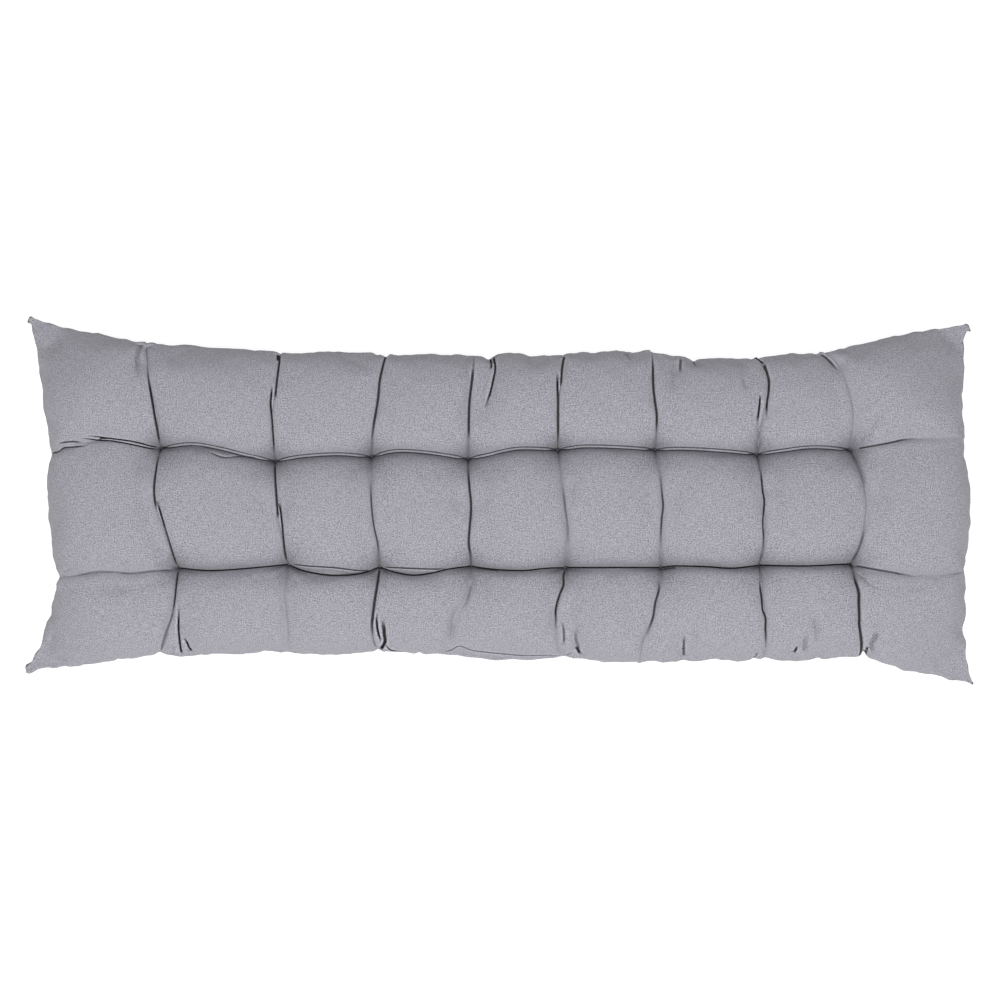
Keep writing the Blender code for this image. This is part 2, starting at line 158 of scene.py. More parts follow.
# The creases in the cloth: the depth and width of each, the shares of its way over which its two ends fade
# out, and its route on the face
Crease = namedtuple("Crease", "depth width fades route")
CREASES = (
    # The upper pleats' own strands, some of which overlap
    Crease(0.01, 0.0016, (0.1, 0.45), (
        (-0.433, 0.071), (-0.435, 0.083), (-0.438, 0.099), (-0.441, 0.118), (-0.445, 0.144),
        (-0.446, 0.161), (-0.446, 0.177),
    )),
    Crease(0.0075, 0.00384, (0, 0.4), ((-0.454, 0.198), (-0.458, 0.183), (-0.458, 0.162), (-0.456, 0.156))),
    Crease(0.003, 0.0016, (0.2, 0.2), ((-0.451, 0.188), (-0.445, 0.193), (-0.438, 0.196))),
    Crease(0.01, 0.0017, (0, 0.15), ((-0.279, 0.185), (-0.279, 0.174), (-0.283, 0.148), (-0.285, 0.127))),
    Crease(0.008, 0.0014, (0, 0.2), ((-0.282, 0.185), (-0.281, 0.176))),
    Crease(0.01, 0.0016, (0.2, 0.2), (
        (-0.288, 0.149), (-0.290, 0.135), (-0.291, 0.122), (-0.289, 0.102), (-0.288, 0.086),
        (-0.287, 0.070), (-0.287, 0.057),
    )),
    Crease(0.01, 0.0018, (0.35, 0), (
        (-0.163, 0.063), (-0.159, 0.097), (-0.154, 0.128), (-0.151, 0.154), (-0.143, 0.185),
    )),
    Crease(0.01, 0.0018, (0.15, 0.2), (
        (-0.032, 0.171), (-0.034, 0.151), (-0.037, 0.127), (-0.038, 0.102), (-0.038, 0.086),
        (-0.038, 0.072),
    )),
    Crease(0.0045, 0.00416, (0.1, 0.4), ((-0.040, 0.183), (-0.040, 0.151))),
    Crease(0.01, 0.0016, (0, 0.45), (
        (-0.006, 0.182), (-0.004, 0.167), (-0.007, 0.151), (-0.011, 0.135), (-0.017, 0.118),
        (-0.020, 0.110),
    )),
    Crease(0.009, 0.0014, (0, 0.2), ((-0.010, 0.180), (-0.009, 0.166))),
    Crease(0.01, 0.0016, (0, 0.25), ((0.084, 0.182), (0.081, 0.167), (0.080, 0.151), (0.079, 0.143))),
    Crease(0.01, 0.0018, (0.2, 0.25), (
        (0.076, 0.166), (0.075, 0.151), (0.076, 0.125), (0.076, 0.102), (0.076, 0.078), (0.076, 0.067),
    )),
    Crease(0.01, 0.0018, (0.25, 0.18), (
        (0.195, 0.187), (0.196, 0.175), (0.197, 0.159), (0.198, 0.143), (0.200, 0.125), (0.202, 0.110),
        (0.202, 0.096), (0.201, 0.083),
    )),
    Crease(0.0045, 0.00384, (0.1, 0.4), ((0.222, 0.178), (0.222, 0.159), (0.220, 0.143), (0.219, 0.136))),
    Crease(0.007, 0.0020, (0, 0.5), ((0.232, 0.180), (0.231, 0.156))),
    Crease(0.004, 0.0016, (0, 0.4), ((0.248, 0.178), (0.253, 0.167))),
    Crease(0.003, 0.0016, (0, 0.4), ((0.163, 0.186), (0.170, 0.172))),
    Crease(0.00375, 0.00416, (0.2, 0.3), ((0.312, 0.180), (0.312, 0.156), (0.316, 0.136))),
    Crease(0.01, 0.0016, (0.1, 0.3), (
        (0.338, 0.175), (0.342, 0.162), (0.345, 0.151), (0.345, 0.138), (0.343, 0.125), (0.342, 0.112),
        (0.341, 0.101),
    )),
    Crease(0.009, 0.0014, (0, 0.1), ((0.327, 0.182), (0.334, 0.176), (0.338, 0.174))),
    Crease(0.008, 0.0016, (0.25, 0.3), ((0.334, 0.138), (0.333, 0.122), (0.331, 0.105), (0.330, 0.094))),
    Crease(0.0045, 0.0048, (0.2, 0.1), ((0.330, 0.099), (0.332, 0.086), (0.334, 0.075), (0.333, 0.064))),
    Crease(0.006, 0.0016, (0, 0.45), ((0.410, 0.185), (0.417, 0.180), (0.429, 0.168), (0.436, 0.161))),
    Crease(0.00375, 0.0048, (0.15, 0.4), (
        (0.458, 0.075), (0.467, 0.082), (0.480, 0.098), (0.492, 0.112), (0.500, 0.123),
    )),
    # The strands between the rows
    Crease(0.01, 0.0018, (0.3, 0.2), (
        (-0.433, 0.061), (-0.436, 0.045), (-0.438, 0.030), (-0.439, 0.012), (-0.438, -0.001),
        (-0.435, -0.015),
    )),
    Crease(0.01, 0.0017, (0.2, 0.12), (
        (-0.435, 0.003), (-0.432, -0.011), (-0.428, -0.025), (-0.421, -0.051), (-0.413, -0.077),
        (-0.410, -0.085),
    )),
    Crease(0.01, 0.0017, (0.1, 0.15), (
        (-0.286, 0.047), (-0.285, 0.029), (-0.284, 0.013), (-0.283, -0.001), (-0.281, -0.027),
    )),
    Crease(0.01, 0.0017, (0.2, 0.15), ((-0.280, 0.002), (-0.276, -0.030), (-0.273, -0.065), (-0.270, -0.081))),
    Crease(0.005, 0.0013, (0.3, 0.2), (
        (-0.163, 0.038), (-0.162, -0.004), (-0.159, -0.032), (-0.154, -0.057), (-0.152, -0.082),
    )),
    Crease(0.01, 0.0017, (0.25, 0.2), (
        (-0.040, 0.049), (-0.039, 0.037), (-0.037, 0.015), (-0.035, -0.012), (-0.038, -0.053),
        (-0.035, -0.072), (-0.034, -0.082),
    )),
    Crease(0.004, 0.0015, (0.35, 0.35), (
        (0.078, 0.048), (0.081, 0.025), (0.085, -0.011), (0.088, -0.034), (0.088, -0.058), (0.086, -0.080),
    )),
    Crease(0.003, 0.00416, (0.3, 0.3), ((0.093, 0.027), (0.096, -0.008))),
    Crease(0.006, 0.0015, (0.35, 0.3), (
        (0.205, 0.044), (0.207, 0.025), (0.209, 0.004), (0.210, -0.008), (0.208, -0.026), (0.207, -0.049),
        (0.208, -0.067),
    )),
    Crease(0.008, 0.0015, (0.25, 0.3), (
        (0.333, 0.048), (0.335, 0.034), (0.337, 0.012), (0.339, -0.003), (0.337, -0.029), (0.338, -0.052),
        (0.337, -0.072),
    )),
    Crease(0.00675, 0.00384, (0.1, 0.4), (
        (0.452, 0.062), (0.458, 0.049), (0.462, 0.038), (0.466, 0.020), (0.468, -0.001),
    )),
    Crease(0.005, 0.0018, (0.4, 0.1), ((0.468, -0.026), (0.464, -0.048), (0.457, -0.068), (0.450, -0.081))),
    # The lower pleats' strands, and the gathers beside them
    Crease(0.010, 0.0014, (0.05, 0.5), (
        (-0.409, -0.091), (-0.410, -0.098), (-0.412, -0.113), (-0.414, -0.132), (-0.417, -0.150),
    )),
    Crease(0.004, 0.0014, (0.2, 0.1), ((-0.414, -0.132), (-0.417, -0.150), (-0.422, -0.167), (-0.430, -0.196))),
    Crease(0.01, 0.0017, (0.45, 0.05), (
        (-0.409, -0.129), (-0.408, -0.145), (-0.407, -0.167), (-0.405, -0.183), (-0.403, -0.196),
    )),
    Crease(0.01, 0.0018, (0.45, 0), ((-0.401, -0.173), (-0.396, -0.181), (-0.391, -0.193))),
    Crease(0.003, 0.0018, (0.3, 0), ((-0.411, -0.183), (-0.414, -0.197))),
    Crease(0.003, 0.00384, (0.3, 0.2), (
        (-0.275, -0.115), (-0.273, -0.133), (-0.271, -0.148), (-0.268, -0.164), (-0.269, -0.189),
    )),
    Crease(0.011, 0.0020, (0, 0.35), (
        (-0.152, -0.090), (-0.155, -0.110), (-0.158, -0.129), (-0.160, -0.145), (-0.161, -0.158),
        (-0.160, -0.170), (-0.159, -0.180),
    )),
    Crease(0.009, 0.0016, (0.4, 0.25), (
        (-0.155, -0.140), (-0.155, -0.155), (-0.153, -0.168), (-0.150, -0.178), (-0.150, -0.183),
    )),
    Crease(0.012, 0.0026, (0.35, 0), (
        (-0.149, -0.148), (-0.146, -0.162), (-0.145, -0.171), (-0.144, -0.180), (-0.149, -0.190),
    )),
    Crease(0.004, 0.0020, (0.2, 0.4), ((-0.034, -0.103), (-0.039, -0.124), (-0.046, -0.139))),
    Crease(0.0045, 0.00544, (0.4, 0.2), ((-0.059, -0.146), (-0.060, -0.179))),
    Crease(0.009, 0.0016, (0.05, 0.35), (
        (0.085, -0.090), (0.083, -0.098), (0.083, -0.109), (0.079, -0.119), (0.075, -0.131),
        (0.073, -0.142), (0.073, -0.155), (0.073, -0.166),
    )),
    Crease(0.006, 0.0018, (0.35, 0.3), ((0.081, -0.150), (0.083, -0.168), (0.083, -0.190))),
    Crease(0.006, 0.0022, (0.45, 0), ((0.099, -0.154), (0.098, -0.175), (0.102, -0.188), (0.104, -0.197))),
    Crease(0.007, 0.0017, (0.25, 0.35), (
        (0.205, -0.095), (0.204, -0.103), (0.205, -0.114), (0.200, -0.132), (0.197, -0.149),
        (0.192, -0.162), (0.186, -0.175), (0.184, -0.181),
    )),
    Crease(0.007, 0.0019, (0.4, 0), ((0.237, -0.168), (0.235, -0.184), (0.236, -0.199))),
    Crease(0.003, 0.0020, (0.4, 0.3), ((0.247, -0.157), (0.247, -0.179))),
    Crease(0.009, 0.0017, (0.2, 0.3), (
        (0.333, -0.096), (0.334, -0.112), (0.336, -0.127), (0.337, -0.140), (0.340, -0.151),
        (0.339, -0.164), (0.339, -0.176), (0.339, -0.188),
    )),
    Crease(0.005, 0.0018, (0.3, 0), ((0.329, -0.192), (0.325, -0.203))),
    Crease(0.009, 0.0020, (0.3, 0), ((0.379, -0.185), (0.375, -0.194))),
    Crease(0.0075, 0.00384, (0.4, 0.1), ((0.393, -0.164), (0.389, -0.179), (0.389, -0.193))),
    Crease(0.006, 0.00416, (0.4, 0.2), ((0.403, -0.138), (0.404, -0.159), (0.403, -0.185))),
    Crease(0.012, 0.0022, (0.18, 0), (
        (0.451, -0.087), (0.452, -0.092), (0.456, -0.105), (0.460, -0.119), (0.460, -0.132),
        (0.460, -0.149), (0.459, -0.158), (0.460, -0.173), (0.461, -0.183), (0.461, -0.198),
    )),
    Crease(0.01, 0.0018, (0.1, 0), ((0.468, -0.187), (0.467, -0.199))),
    Crease(0.0075, 0.00384, (0.4, 0.1), ((0.477, -0.157), (0.479, -0.171), (0.473, -0.183), (0.474, -0.195))),
    Crease(0.003, 0.0022, (0.15, 0.45), ((0.457, -0.092), (0.464, -0.098), (0.475, -0.108), (0.490, -0.116))),
    # The closing seam, and a gather beside it
    Crease(0.0035, 0.0011, (0.1, 0.1), (
        (-0.080, -0.193), (-0.062, -0.192), (-0.050, -0.186), (-0.034, -0.191), (-0.012, -0.194),
        (0.025, -0.198), (0.053, -0.198), (0.081, -0.199), (0.090, -0.196), (0.103, -0.190),
    )),
    Crease(0.012, 0.0022, (0.3, 0), ((0.097, -0.186), (0.101, -0.190), (0.103, -0.195))),
    Crease(0.005, 0.0011, (0.2, 0.2), ((-0.143, -0.183), (-0.137, -0.191), (-0.119, -0.194))),
    # Beside the rows and towards the two ends
    Crease(0.004, 0.0012, (0.15, 0.35), (
        (-0.373, 0.063), (-0.352, 0.054), (-0.329, 0.055), (-0.306, 0.052), (-0.289, 0.048),
    )),
    Crease(0.005, 0.0012, (0.1, 0.1), (
        (-0.267, -0.082), (-0.243, -0.085), (-0.210, -0.087), (-0.178, -0.091), (-0.161, -0.090),
    )),
    Crease(0.005, 0.0012, (0.1, 0.2), ((-0.150, -0.086), (-0.111, -0.088), (-0.080, -0.089), (-0.059, -0.088))),
    Crease(0.004, 0.0012, (0.1, 0.4), ((-0.031, -0.087), (-0.011, -0.090), (0.013, -0.093))),
    Crease(0.004, 0.0012, (0.1, 0.4), ((0.208, -0.090), (0.220, -0.088), (0.234, -0.087))),
    Crease(0.006, 0.0011, (0.05, 0.3), (
        (-0.435, 0.067), (-0.447, 0.069), (-0.457, 0.072), (-0.472, 0.075), (-0.487, 0.077),
        (-0.503, 0.079), (-0.520, 0.081), (-0.533, 0.081),
    )),
    Crease(0.006, 0.0011, (0.05, 0.25), (
        (-0.436, 0.064), (-0.449, 0.066), (-0.462, 0.069), (-0.477, 0.072), (-0.495, 0.075),
        (-0.513, 0.076), (-0.528, 0.078), (-0.540, 0.078),
    )),
    Crease(0.005, 0.0013, (0, 0.25), (
        (-0.570, 0.060), (-0.564, 0.060), (-0.560, 0.062), (-0.555, 0.066), (-0.545, 0.067),
        (-0.534, 0.068), (-0.523, 0.070),
    )),
    Crease(0.005, 0.0013, (0.3, 0.25), ((-0.565, 0.068), (-0.559, 0.072), (-0.546, 0.074), (-0.529, 0.073))),
    Crease(0.005, 0.0013, (0.05, 0.35), (
        (0.458, 0.065), (0.475, 0.068), (0.497, 0.072), (0.515, 0.076), (0.534, 0.078), (0.547, 0.079),
    )),
    Crease(0.004, 0.0015, (0.05, 0.2), (
        (-0.416, -0.090), (-0.440, -0.091), (-0.468, -0.094), (-0.505, -0.092), (-0.529, -0.095),
        (-0.542, -0.097), (-0.558, -0.099),
    )),
    Crease(0.003, 0.0022, (0.1, 0.45), ((-0.558, -0.092), (-0.544, -0.088), (-0.534, -0.092))),
    Crease(0.005, 0.0014, (0.05, 0.4), (
        (0.454, -0.084), (0.475, -0.088), (0.498, -0.092), (0.514, -0.095), (0.530, -0.097),
        (0.545, -0.095),
    )),
)

# Where gathers nick the seam: the place, how far the seam is drawn in, and how wide
NICKS = (
    # Along the top, then down the right side
    (-0.460, 0.198, 0.0013, 0.005),
    (-0.435, 0.199, 0.0013, 0.004),
    (-0.279, 0.184, 0.0025, 0.004),
    (-0.156, 0.185, 0.0022, 0.003),
    (-0.143, 0.185, 0.0028, 0.003),
    (-0.094, 0.181, 0.0024, 0.003),
    (-0.060, 0.183, 0.0016, 0.003),
    (-0.013, 0.180, 0.0034, 0.005),
    (0.039, 0.181, 0.0014, 0.004),
    (0.064, 0.180, 0.0026, 0.004),
    (0.083, 0.184, 0.0022, 0.003),
    (0.099, 0.185, 0.0014, 0.004),
    (0.162, 0.186, 0.0018, 0.003),
    (0.220, 0.179, 0.0020, 0.004),
    (0.248, 0.177, 0.0036, 0.006),
    (0.322, 0.181, 0.0018, 0.004),
    (0.404, 0.186, 0.0018, 0.004),
    (0.591, 0.201, 0.0040, 0.006),
    (0.595, 0.133, 0.0020, 0.006),
    (0.595, 0.054, 0.0024, 0.006),
    (0.595, -0.073, 0.0016, 0.005),
    (0.592, -0.166, 0.0040, 0.012),
    # The necks of the two left ears
    (-0.584, -0.189, 0.0036, 0.009),
    (-0.591, 0.207, 0.0016, 0.007),
    # Along the bottom, from the left
    (-0.485, -0.204, 0.0020, 0.004),
    (-0.433, -0.197, 0.0036, 0.005),
    (-0.392, -0.193, 0.0036, 0.004),
    (-0.323, -0.194, 0.0020, 0.004),
    (-0.299, -0.194, 0.0016, 0.004),
    (-0.153, -0.192, 0.0036, 0.004),
    (-0.101, -0.197, 0.0016, 0.004),
    (-0.055, -0.195, 0.0016, 0.003),
    (0.084, -0.200, 0.0040, 0.008),
    (0.235, -0.201, 0.0040, 0.005),
    (0.325, -0.203, 0.0026, 0.004),
    (0.373, -0.198, 0.0050, 0.005),
    (0.406, -0.199, 0.0020, 0.005),
    (0.443, -0.197, 0.0028, 0.005),
    (0.466, -0.198, 0.0090, 0.004),
)

# The four corner ears: the corner's side in x and y, how far its tip is drawn out, and its radius
EARS = (
    (-1, 1, (-0.0018, 0.0006), 0.0034),
    (-1, -1, (-0.0044, -0.0056), 0.0058),
    (1, 1, (0.0044, 0.0008), 0.0024),
    (1, -1, (0.0066, -0.0048), 0.0012),
)

# From straight above, what lies on the raised face looks further out than it is, but not by the seam
FACE_SPREAD = 0.0118
TUFT_SPREAD = 0.0065
TUFT_ZONE = 0.020
RISE_REACH = 0.050

ROW_DEPTH = 0.0065
ROW_WIDTH = 0.0011
# The rows and the tufts also draw the cloth round them down
ROW_DRAW = 0.0075
MIDDLE_DRAW_REACH = 0.020
OUTER_DRAW_REACH = 0.012
TUFT_DRAW = (0.0085, 0.018)
LIP_OFFSET = 0.0019
LIP_DEPTH = 0.004
LIP_WIDTH = 0.0009
LIP_HEIGHT = 0.004

MERGE_DISTANCE = 1e-5
ROUTE_STEP = 0.001
# A tuft's own point in the mesh lies no further from its place than this
TUFT_REACH = 0.003
# The mesh's lines are drawn onto the routes, and what lies within this reach follows them
DRAW_REACH = 0.030
# The pads close over a pleat from this far, and a pleat that closes this much is sharp at its bottom
CLOSING_REACH = 0.014
SHARP_CLOSING = 0.7
ROW_CLOSING = 0.35
LIP_CLOSING = 0.25
# The troughs of the solid are this wide to each side, and plump pads fill a share of their depth
TROUGH_REACH = 0.022
BRIM_STEP = 8
PLEAT_FILL = 0.6
MIDDLE_ROW_FILL = 0.1
OUTER_ROW_FILL = 0.3
# From one side of a row to the other, the draw and the fill change over this width
ROW_STEP = 0.003
# Stitches hold the cloth this far to each side of a line
HOLD_REACH = 0.0025
EAR_LENGTH = 0.035
EAR_SLOPE = 0.5
# The underside is made coarser from this far inside the seam
UNDERSIDE_MARGIN = 0.012
# Painted shade: a crease this deep for its width gets none, one this deep is painted black inside, and the lip's lines
# are painted this dark
NO_PAINTED_SHADE_RATIO = 1.4
PAINTED_BLACK_RATIO = 4.6
LIP_PAINTED_SHADE = 0.7
# How much faster a crease's walls rise than its painted shade ends
CREASE_STEEPNESS = 1.4
# The painted shade and the painted highlight reach out from a crease up to this many times its width
PAINTED_SHADE_SPAN = 3
# The cloth's painted brightness from the middle of a crease outwards: painted black inside, with a painted highlight
# on the rim
PAINTED_CREASE_TONES = ((0.0, 0.0), (0.20, 0.0), (0.33, 1.15), (0.43, 1.42), (0.66, 1.14), (1.0, 1.0))
PAINTED_TONE_PEAK = 1.5
# Shade painted between the pads, round the tufts and beside the rows: how dark it is painted, and how far out
TUFT_PAINTED_SHADE = (0.34, 0.018)
ROW_PAINTED_SHADE = (0.20, 0.011)
# The mesh's points are gathered to a crease from this far, or from this many times its width if that is less
GATHER_REACH = 0.0024
GATHER_SPAN = 1.3
LIP_GATHER = 0.0014


# How a knot's loops lean, and how far each knot is turned from the one before
KNOT_TILT = 1.1
KNOT_TURN = 2.4
# The closing seam's two ends along X, and the steps in which its lip is drawn
CLOSING_START = -0.078
CLOSING_END = 0.102
LIP_STEP = 0.0027
PATH_SHIFTS = (-0.006, -0.003, 0, 0.003, 0.006)
STITCH_SLANT = 0.45


class CushionCoverSettings(bpy.types.PropertyGroup):
    """The cover's swelling, creases and puckers."""

    pressure: FloatProperty(
        name="Filling pressure", description="How hard the filling presses on the cloth", default=4.0, min=0
    )
    slack: FloatProperty(
        name="Slack", description="Spare cloth, as a share of its size", default=0.03, min=0, max=0.2
    )
    most_swell: FloatProperty(
        name="Most swell",
        description="The furthest that a point of the cloth may move as it is filled",
        default=0.010,
        unit="LENGTH",
    )
    frames: IntProperty(name="Filling steps", description="Frames of simulation", default=20, min=1)
    tuft_depth: FloatProperty(
        name="Tuft depth", description="How far a tuft pulls in past its channels", default=0.004, unit="LENGTH"
    )
    tuft_radius: FloatProperty(
        name="Tuft radius", description="How wide a tuft's pit is", default=0.004, unit="LENGTH"
    )
    pucker_height: FloatProperty(
        name="Pucker height", description="Height of the puckers beside the seam", default=0.0030, unit="LENGTH"
    )
    lump_height: FloatProperty(
        name="Lump height", description="Height of the filling's soft lumps", default=0.0012, unit="LENGTH"
    )


class CushionClothSettings(bpy.types.PropertyGroup):
    """The cloth's colour and weave."""

    colour: FloatVectorProperty(
        name="Cloth colour",
        description="The colour of the yarn",
        subtype="COLOR",
        size=3,
        default=(0.325, 0.320, 0.352),
        min=0,
        max=1,
    )
    thread_pitch: FloatProperty(
        name="Thread pitch", description="From one thread to the next", default=0.0008, unit="LENGTH"
    )
    roughness: FloatProperty(
        name="Roughness", description="How dull the cloth is", subtype="FACTOR", default=0.92, min=0, max=1
    )


class CushionSewingSettings(bpy.types.PropertyGroup):
    """The tuft knots and the closing seam."""

    knot_radius: FloatProperty(
        name="Knot radius", description="Half the width of a tuft's knot", default=0.0013, unit="LENGTH"
    )
    thread_radius: FloatProperty(
        name="Thread radius", description="Half the thickness of the thread", default=0.0004, unit="LENGTH"
    )
    lip_width: FloatProperty(
        name="Lip width", description="The width of the closing seam's folded lip", default=0.0046, unit="LENGTH"
    )
    lip_thickness: FloatProperty(
        name="Lip thickness", description="The thickness of the folded lip", default=0.0030, unit="LENGTH"
    )
    stitch_pitch: FloatProperty(
        name="Stitch pitch", description="From one closing stitch to the next", default=0.0055, unit="LENGTH"
    )
    thread_colour: FloatVectorProperty(
        name="Thread colour",
        description="The colour of the sewing thread",
        subtype="COLOR",
        size=3,
        default=(0.20, 0.195, 0.22),
        min=0,
        max=1,
    )


class CushionStageSettings(bpy.types.PropertyGroup):
    """The floor, the lights and the camera."""

    key_power: FloatProperty(
        name="Key light", description="The large soft light's power", subtype="POWER", default=222.0, min=0
    )
    fill_strength: FloatProperty(
        name="Fill light", description="The even light from all round", default=0.2, min=0
    )
    floor_glow: FloatProperty(
        name="Floor glow", description="Light from below a white table that clears the shadow", default=0.93, min=0
    )
    lens: FloatProperty(
        name="Lens", description="The camera's focal length", unit="CAMERA", default=100.0, min=1
    )
    view_width: FloatProperty(
        name="View width", description="The width that the camera sees", default=1.274, unit="LENGTH"
    )


def use_only(thing):
    """Deselects everything, then selects and activates one object."""
    bpy.ops.object.select_all(action="DESELECT")
    thing.select_set(True)
    bpy.context.view_layer.objects.active = thing


def positions(mesh):
    """The mesh's points as an array."""
    found = np.empty(len(mesh.vertices) * 3)
    mesh.vertices.foreach_get("co", found)
    return found.reshape(-1, 3)


def move_points(mesh, places):
    """Puts the mesh's points at the places of an array."""
    mesh.vertices.foreach_set("co", places.ravel())
    mesh.update()


def point_normals(mesh):
    """The outward direction at each point, as an array."""
    found = np.empty(len(mesh.vertices) * 3)
    mesh.vertex_normals.foreach_get("vector", found)
    return found.reshape(-1, 3)


def brought_in(route):
    """Points seen from straight above, brought in to where they lie on the raised face."""
    route = np.array(route)
    inside = np.minimum(0.19 - np.abs(route[:, 1]), 0.595 - np.abs(route[:, 0]))
    rise = np.clip(inside / RISE_REACH, 0, 1)
    gaps = np.linalg.norm(route[:, None] - np.array(TUFTS)[None], axis=2).min(1)
    spread = FACE_SPREAD - (FACE_SPREAD - TUFT_SPREAD) * np.exp(-((gaps / TUFT_ZONE) ** 2))
    return route * (1 - spread * rise)[:, None]


def smooth_route(route):
    """Evenly spaced points on a smooth curve through a route's own points."""
    route = brought_in(route)
    ends = [2 * np.array(route[0]) - route[1], *map(np.array, route), 2 * np.array(route[-1]) - route[-2]]
    found = []
    for before, start, end, after in zip(ends, ends[1:], ends[2:], ends[3:]):
        steps = max(2, int(np.linalg.norm(end - start) / ROUTE_STEP))
        t = np.arange(steps)[:, None] / steps
        bend = (2 * before - 5 * start + 4 * end - after) * t**2
        twist = (3 * start - before - 3 * end + after) * t**3
        found.append(start + (end - before) * t / 2 + bend / 2 + twist / 2)
    return np.concatenate([*found, ends[-2][None]])


class Surface:
    """The cover's points, with what the crease functions ask about them."""

    def __init__(self, mesh):
        self.mesh = mesh
        self.places = positions(mesh)
        self.normals = point_normals(mesh)
        self.sink = np.zeros(len(self.places))
        self.drop = np.zeros(len(self.places))
        # Painted shade at each point: how far it lies across its crease, how dark that crease is painted, and the
        # shade painted between the pads
        self.inside = np.tile((1.0, 0.0, 0.0), (len(self.places), 1))
        self.weight = np.zeros(len(self.places))
        self.on_face = self.normals[:, 2] > 0

    def near(self, route, reach, face_only=True):
        """The points within reach of a route, each with its distance and its share of the way along."""
        low, high = route.min(0) - reach, route.max(0) + reach
        flat = self.places[:, :2]
        inside = ((flat > low) & (flat < high)).all(1)
        if face_only:
            inside &= self.on_face
        found = np.flatnonzero(inside)
        if not len(found):
            return found, np.zeros(0), np.zeros(0)
        gaps = np.linalg.norm(flat[found][:, None] - route[None], axis=2)
        closest = gaps.argmin(1)
        distance = gaps[np.arange(len(found)), closest]
        close = distance < reach
        return found[close], distance[close], closest[close] / max(1, len(route) - 1)

    def settle(self):
        """Moves the points by what was collected: inwards, and straight into the filling."""
        self.places -= self.normals * self.sink[:, None]
        self.places[:, 2] -= np.where(self.on_face, self.drop, -self.drop)
        self.sink[:] = 0
        self.drop[:] = 0
        move_points(self.mesh, self.places)

    def paint_crease_shade(self, points, across, strength):
        """Notes, for the painted shade and highlight, how far points lie from the crease that matters most to each,
        and how dark that crease is painted.
        """
        weight = strength * np.exp(-across)
        more = weight > self.weight[points]
        chosen = points[more]
        self.weight[chosen] = weight[more]
        self.inside[chosen, 0] = np.minimum(1, across[more] / PAINTED_SHADE_SPAN)
        self.inside[chosen, 1] = strength[more]

    def keep_painted_shade(self):
        """Stores the painted shade, in the creases and between the pads, as a point attribute for the cloth's colour.
        """
        inside = self.mesh.attributes.new("crease", "FLOAT_VECTOR", "POINT")
        inside.data.foreach_set("vector", self.inside.ravel())


def side_distance(route, spots, share):
    """How far points lie to the left of a route, and the way to its left beside each."""
    foot = np.rint(share * (len(route) - 1)).astype(int)
    along = np.gradient(route, axis=0)[foot]
    along /= np.linalg.norm(along, axis=1)[:, None]
    left = np.column_stack([-along[:, 1], along[:, 0]])
    offset = spots - route[foot]
    across = (offset * left).sum(1)
    beyond = (foot == 0) | (foot == len(route) - 1)
    return np.where(beyond, np.copysign(np.linalg.norm(offset, axis=1), across), across), left, ~beyond


def gather_to(surface, route, reach, apart=0):
    """Draws the mesh's points in towards a crease, or towards the two lines of a lip."""
    points, _, share = surface.near(route, reach + apart)
    across, left, beside = side_distance(route, surface.places[points, :2], share)
    gap = np.abs(across) - apart
    close = beside & (np.abs(gap) < reach)
    goal = np.copysign(apart + gap * np.abs(gap) / reach, across)
    move = np.where(close, goal - across, 0)
    surface.places[points, :2] += left * move[:, None]


def copied_solid(name):
    """A copy of the filled solid as joined four-sided faces."""
    cover = bpy.data.objects.new(name, SOLID.data.copy())
    bpy.context.scene.collection.objects.link(cover)
    cover.data.materials.clear()
    use_only(cover)
    bpy.ops.object.mode_set(mode="EDIT")
    bpy.ops.mesh.select_all(action="SELECT")
    bpy.ops.mesh.remove_doubles(threshold=MERGE_DISTANCE)
    bpy.ops.mesh.tris_convert_to_quads(face_threshold=math.pi, shape_threshold=math.pi, topology_influence=1.0)
    bpy.ops.object.mode_set(mode="OBJECT")
    return cover


def mark_edge_seam(cover):
    """Marks the knife edge where the face meets the underside, and keeps it sharp."""
    shape = bmesh.new()
    shape.from_mesh(cover.data)
    sharp_edge = shape.edges.layers.float.new("crease_edge")
    sharp_point = shape.verts.layers.float.new("crease_vert")
    shape.normal_update()
    for edge in shape.edges:
        sides = {face.normal.z > 0 for face in edge.link_faces}
        if len(sides) == 2:
            edge.seam = True
            edge[sharp_edge] = 1
    for side_x in (-1, 1):
        for side_y in (-1, 1):
            tip = max(shape.verts, key=lambda point: point.co.x * side_x + point.co.y * side_y)
            tip[sharp_point] = 1
    shape.to_mesh(cover.data)
    shape.free()


def line_of_points(start, heading, stops):
    """The mesh's line of points that leaves a tuft in a direction, up to the edge seam or the next tuft."""
    line = [start]
    while line[-1] not in stops or len(line) == 1:
        onward = [edge.other_vert(line[-1]) for edge in line[-1].link_edges]
        ways = {point: (point.co - line[-1].co).xy.normalized() for point in onward if point not in line}
        step = max(ways, key=lambda point: ways[point].dot(heading))
        heading = ways[step]
        line.append(step)
    return line


def drawn_out(route, end):
    """A route carried on to the edge seam, where its last point slides along the seam."""
    if not any(edge.seam for edge in end.link_edges):
        return smooth_route(route)
    beside = [edge.other_vert(end).co.xy for edge in end.link_edges if edge.seam]
    along = (beside[1] - beside[0]).normalized()
    last = Vector(route[-1])
    way = (last - Vector(route[-2])).normalized()
    slide = (last + way * (end.co.xy - last).length - end.co.xy).dot(along)
    return smooth_route([*route, end.co.xy + along * slide])


